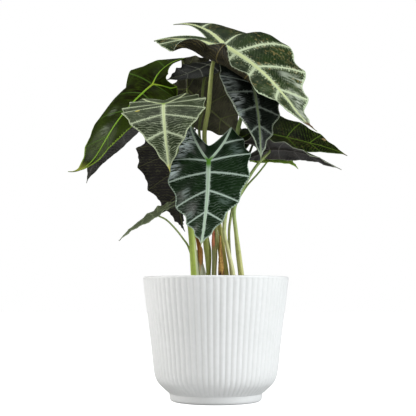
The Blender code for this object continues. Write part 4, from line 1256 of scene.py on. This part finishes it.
def make_soil():
    """A lumpy disc of soil that fills the pot, with crumbs, bark and perlite scattered on it."""
    rng = np.random.default_rng(7)
    bm = bmesh.new()
    rings = [[(soil_radius(height), height)] * SOIL_AROUND for height in SOIL_SIDE]
    edge = soil_radius(SOIL_TOP - SOIL_CROWN)
    for k in range(SOIL_RINGS):
        share = 1 - k / SOIL_RINGS
        lumps = rng.normal(0, SOIL_LUMP, SOIL_AROUND)
        lumps = 0.5 * lumps + 0.25 * np.roll(lumps, 1) + 0.25 * np.roll(lumps, -1)
        rise = SOIL_TOP - SOIL_CROWN * share**2 - (SOIL_SINK if k else 0.0)
        rings.append([(edge * share, rise + (lump if k else 0.0)) for lump in lumps])
    turns = [2 * math.pi * k / SOIL_AROUND for k in range(SOIL_AROUND)]
    grid = []
    for ring in rings:
        points = [(r * math.cos(a) * MM, r * math.sin(a) * MM, z * MM) for (r, z), a in zip(ring, turns)]
        grid.append([bm.verts.new(point) for point in points])
    add_quads(bm, grid, closed=True)
    bm.faces.new(grid[0][::-1])
    top = bm.verts.new((0, 0, (SOIL_TOP - SOIL_SINK) * MM))
    for k in range(SOIL_AROUND):
        bm.faces.new((grid[-1][k], grid[-1][(k + 1) % SOIL_AROUND], top))
    soil = mesh_object("potting_soil", bm, smooth=True)
    soil.data.materials.append(soil_material())
    scatter_on_soil(soil)
    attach(soil, "root")
    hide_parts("soil")


def scatter_on_soil(soil):
    """Crumbs, bark and perlite on the upper face, joined into the soil's own mesh."""
    top = bmesh.new()
    top.from_mesh(soil.data)
    reach = SCATTER_RADIUS * MM
    low = [f for f in top.faces if f.normal.z < 0.3 or f.calc_center_median().xy.length > reach]
    bmesh.ops.delete(top, geom=low, context="FACES")
    finds = [
        ("soil_crumbs", (0.0004, 0.0012), (1.0, 1.0, 0.8), 60000.0, soil.data.materials[0], 11),
        ("bark_chips", (0.0008, 0.0016), (1.6, 0.8, 0.4), 6000.0,
         bark_material("bark_chips", (0.030, 0.014, 0.007), (0.110, 0.055, 0.026)), 23),
        ("perlite_grains", (0.0006, 0.0012), (1.0, 1.0, 0.9), 2500.0, perlite_material(), 31),
    ]
    pieces = [soil]
    for name, size, stretch, density, material, seed in finds:
        mesh = bpy.data.meshes.new(name)
        top.to_mesh(mesh)
        cover = new_object(name, mesh)
        grown(cover, make_scatter_tree(name, size, stretch, seed), density=density, material=material)
        pieces.append(cover)
    top.free()
    join(pieces)


def join(pieces):
    """Joins some objects into the first one, with their materials."""
    for obj in pieces:
        obj.select_set(True)
    bpy.context.view_layer.objects.active = pieces[0]
    chosen = {"selected_editable_objects": pieces, "selected_objects": pieces}
    with bpy.context.temp_override(active_object=pieces[0], **chosen):
        bpy.ops.object.join()
    pieces[0].select_set(False)


def make_rhizome(tree):
    """The brown root stock, rough and scarred."""
    route = [(5, -12, 94), (5, -12, 120), (4.5, -13, 138), (4, -14, 156)]
    where = np.linspace(0, 3, 50)
    widths = np.interp(where, range(4), (3.2, 3.1, 1.9, 0.7))
    scars = 0.25 * np.abs(np.sin(where * 19)) + np.random.default_rng(3).normal(0, 0.08, len(where))
    colours = (0.10, 0.03, 0.008), (0.64, 0.38, 0.09), (0.05, 0.018, 0.009)
    bark = bark_material("root_stock", *colours, change=(114, 128))
    obj = line_object("root_stock", catmull_rom(route, where), {"radius_here": (widths - 0.2 + scars) * MM})
    grown(obj, tree, material=bark, ridge=0.0008)
    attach(obj, "root")
    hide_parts("rhizome")


def make_sheath(name, route, half_widths, cup, thick, material):
    """A dry leaf base: a strip along a route, cupped round its stalk, with a torn upper edge."""
    rng = np.random.default_rng(len(name))
    where = np.linspace(0, len(route) - 1, SHEATH_ROWS)
    path = catmull_rom(route, where)
    widths = np.interp(where, range(len(half_widths)), half_widths)
    tears = rng.normal(0, SHEATH_TEAR, (len(where), 2))
    bm = bmesh.new()
    grid = []
    for k, (point, width) in enumerate(zip(path, widths)):
        line = []
        for share in np.linspace(-1, 1, SHEATH_COLUMNS):
            ragged = 1 + (tears[k, 0] if share < 0 else tears[k, 1]) * abs(share)
            turn = cup * share
            x = width * ragged * math.sin(turn) / math.sin(cup)
            y = width * (1 - math.cos(turn)) / math.sin(cup) * 0.8
            line.append(bm.verts.new((point + np.array([x, y, 0.8 * tears[k, 0]])) * MM))
        grid.append(line)
    add_quads(bm, grid)
    obj = mesh_object("dry_" + name, bm, smooth=True)
    obj.data.materials.append(material)
    shell = obj.modifiers.new("thickness", "SOLIDIFY")
    shell.thickness = thick * MM
    shell.offset = 0
    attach(obj, "root")
    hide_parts(name)


# Studio

def make_camera():
    data = bpy.data.cameras.new("camera")
    data.sensor_width = SENSOR
    data.lens = FOCAL_PIXELS * SENSOR / PHOTO_WIDTH
    data.clip_start = 0.01
    camera = new_object("camera", data)
    camera.location = CAMERA_PLACE
    camera.rotation_euler = (math.radians(90 + CAMERA_PITCH), 0.0, 0.0)
    bpy.context.scene.camera = camera


def make_floor():
    bm = bmesh.new()
    bmesh.ops.create_grid(bm, x_segments=1, y_segments=1, size=6.0)
    floor = mesh_object("floor", bm)
    material, n, shader = new_material("pale_floor", 0.9)
    shader["Base Color"].default_value = (0.51, 0.51, 0.51, 1.0)
    shader["Emission Color"].default_value = (1.0, 1.0, 1.0, 1.0)
    n.feed(shader["Emission Strength"], n.add("ShaderNodeLightPath").outputs["Is Camera Ray"])
    floor.data.materials.append(material)


def add_softbox(name, place, aim, size, power, colour):
    data = bpy.data.lights.new(name, "AREA")
    data.shape = "DISK"
    data.size = size
    data.energy = power
    data.color = colour
    light = new_object(name, data)
    light.location = place
    light.rotation_euler = (Vector(aim) - Vector(place)).to_track_quat("-Z", "Y").to_euler()
    return light


def make_lights():
    """A pale room that reflects dark, three softboxes and a fill that leaves no highlight."""
    world = bpy.data.worlds.new("studio")
    bpy.context.scene.world = world
    world.use_nodes = True
    n = Nodes(world.node_tree)
    path = n.add("ShaderNodeLightPath").outputs
    back = world.node_tree.nodes["Background"]
    room = n.mix(path["Is Glossy Ray"], (0.55, 0.55, 0.545), (0.04, 0.043, 0.046))
    n.feed(back.inputs["Color"], n.mix(path["Is Camera Ray"], room, (1.0, 1.0, 1.0)))
    aim = (0.0, 0.0, 0.2)
    add_softbox("right_softbox", (1.1, -0.60, 0.80), aim, 0.9, 14.5, (0.93, 0.97, 1.0))
    add_softbox("left_softbox", (-1.2, 0.05, 0.80), aim, 0.9, 11.5, (1.0, 0.99, 0.97))
    add_softbox("top_softbox", (0.0, 0.1, 1.5), aim, 1.2, 4.0, (1.0, 1.0, 1.0))
    fill = add_softbox("front_fill", (0.1, -1.3, 0.10), (0.0, 0.0, 0.1), 0.7, 1.4, (1.0, 1.0, 1.0))
    fill.visible_glossy = False


def main():
    GROUPS["veins"] = make_vein_pattern()
    GROUPS["mottle"] = make_mottle()
    GROUPS["flecks"] = make_flecks()
    GROUPS["bloom"] = make_painted_patch()
    stalk_tree = make_stalk_tree()
    make_pot()
    make_soil()
    make_rhizome(stalk_tree)
    for name, (route, half_widths, cup, thick, bark) in SHEATHS.items():
        make_sheath("sheath_" + name, route, half_widths, cup, thick, bark_material(name + "_sheath", *bark))
    for name in LEAVES:
        make_stalk(name, make_blade(name), stalk_tree)
    make_camera()
    make_floor()
    make_lights()
    bpy.context.scene.view_settings.view_transform = "Standard"


main()
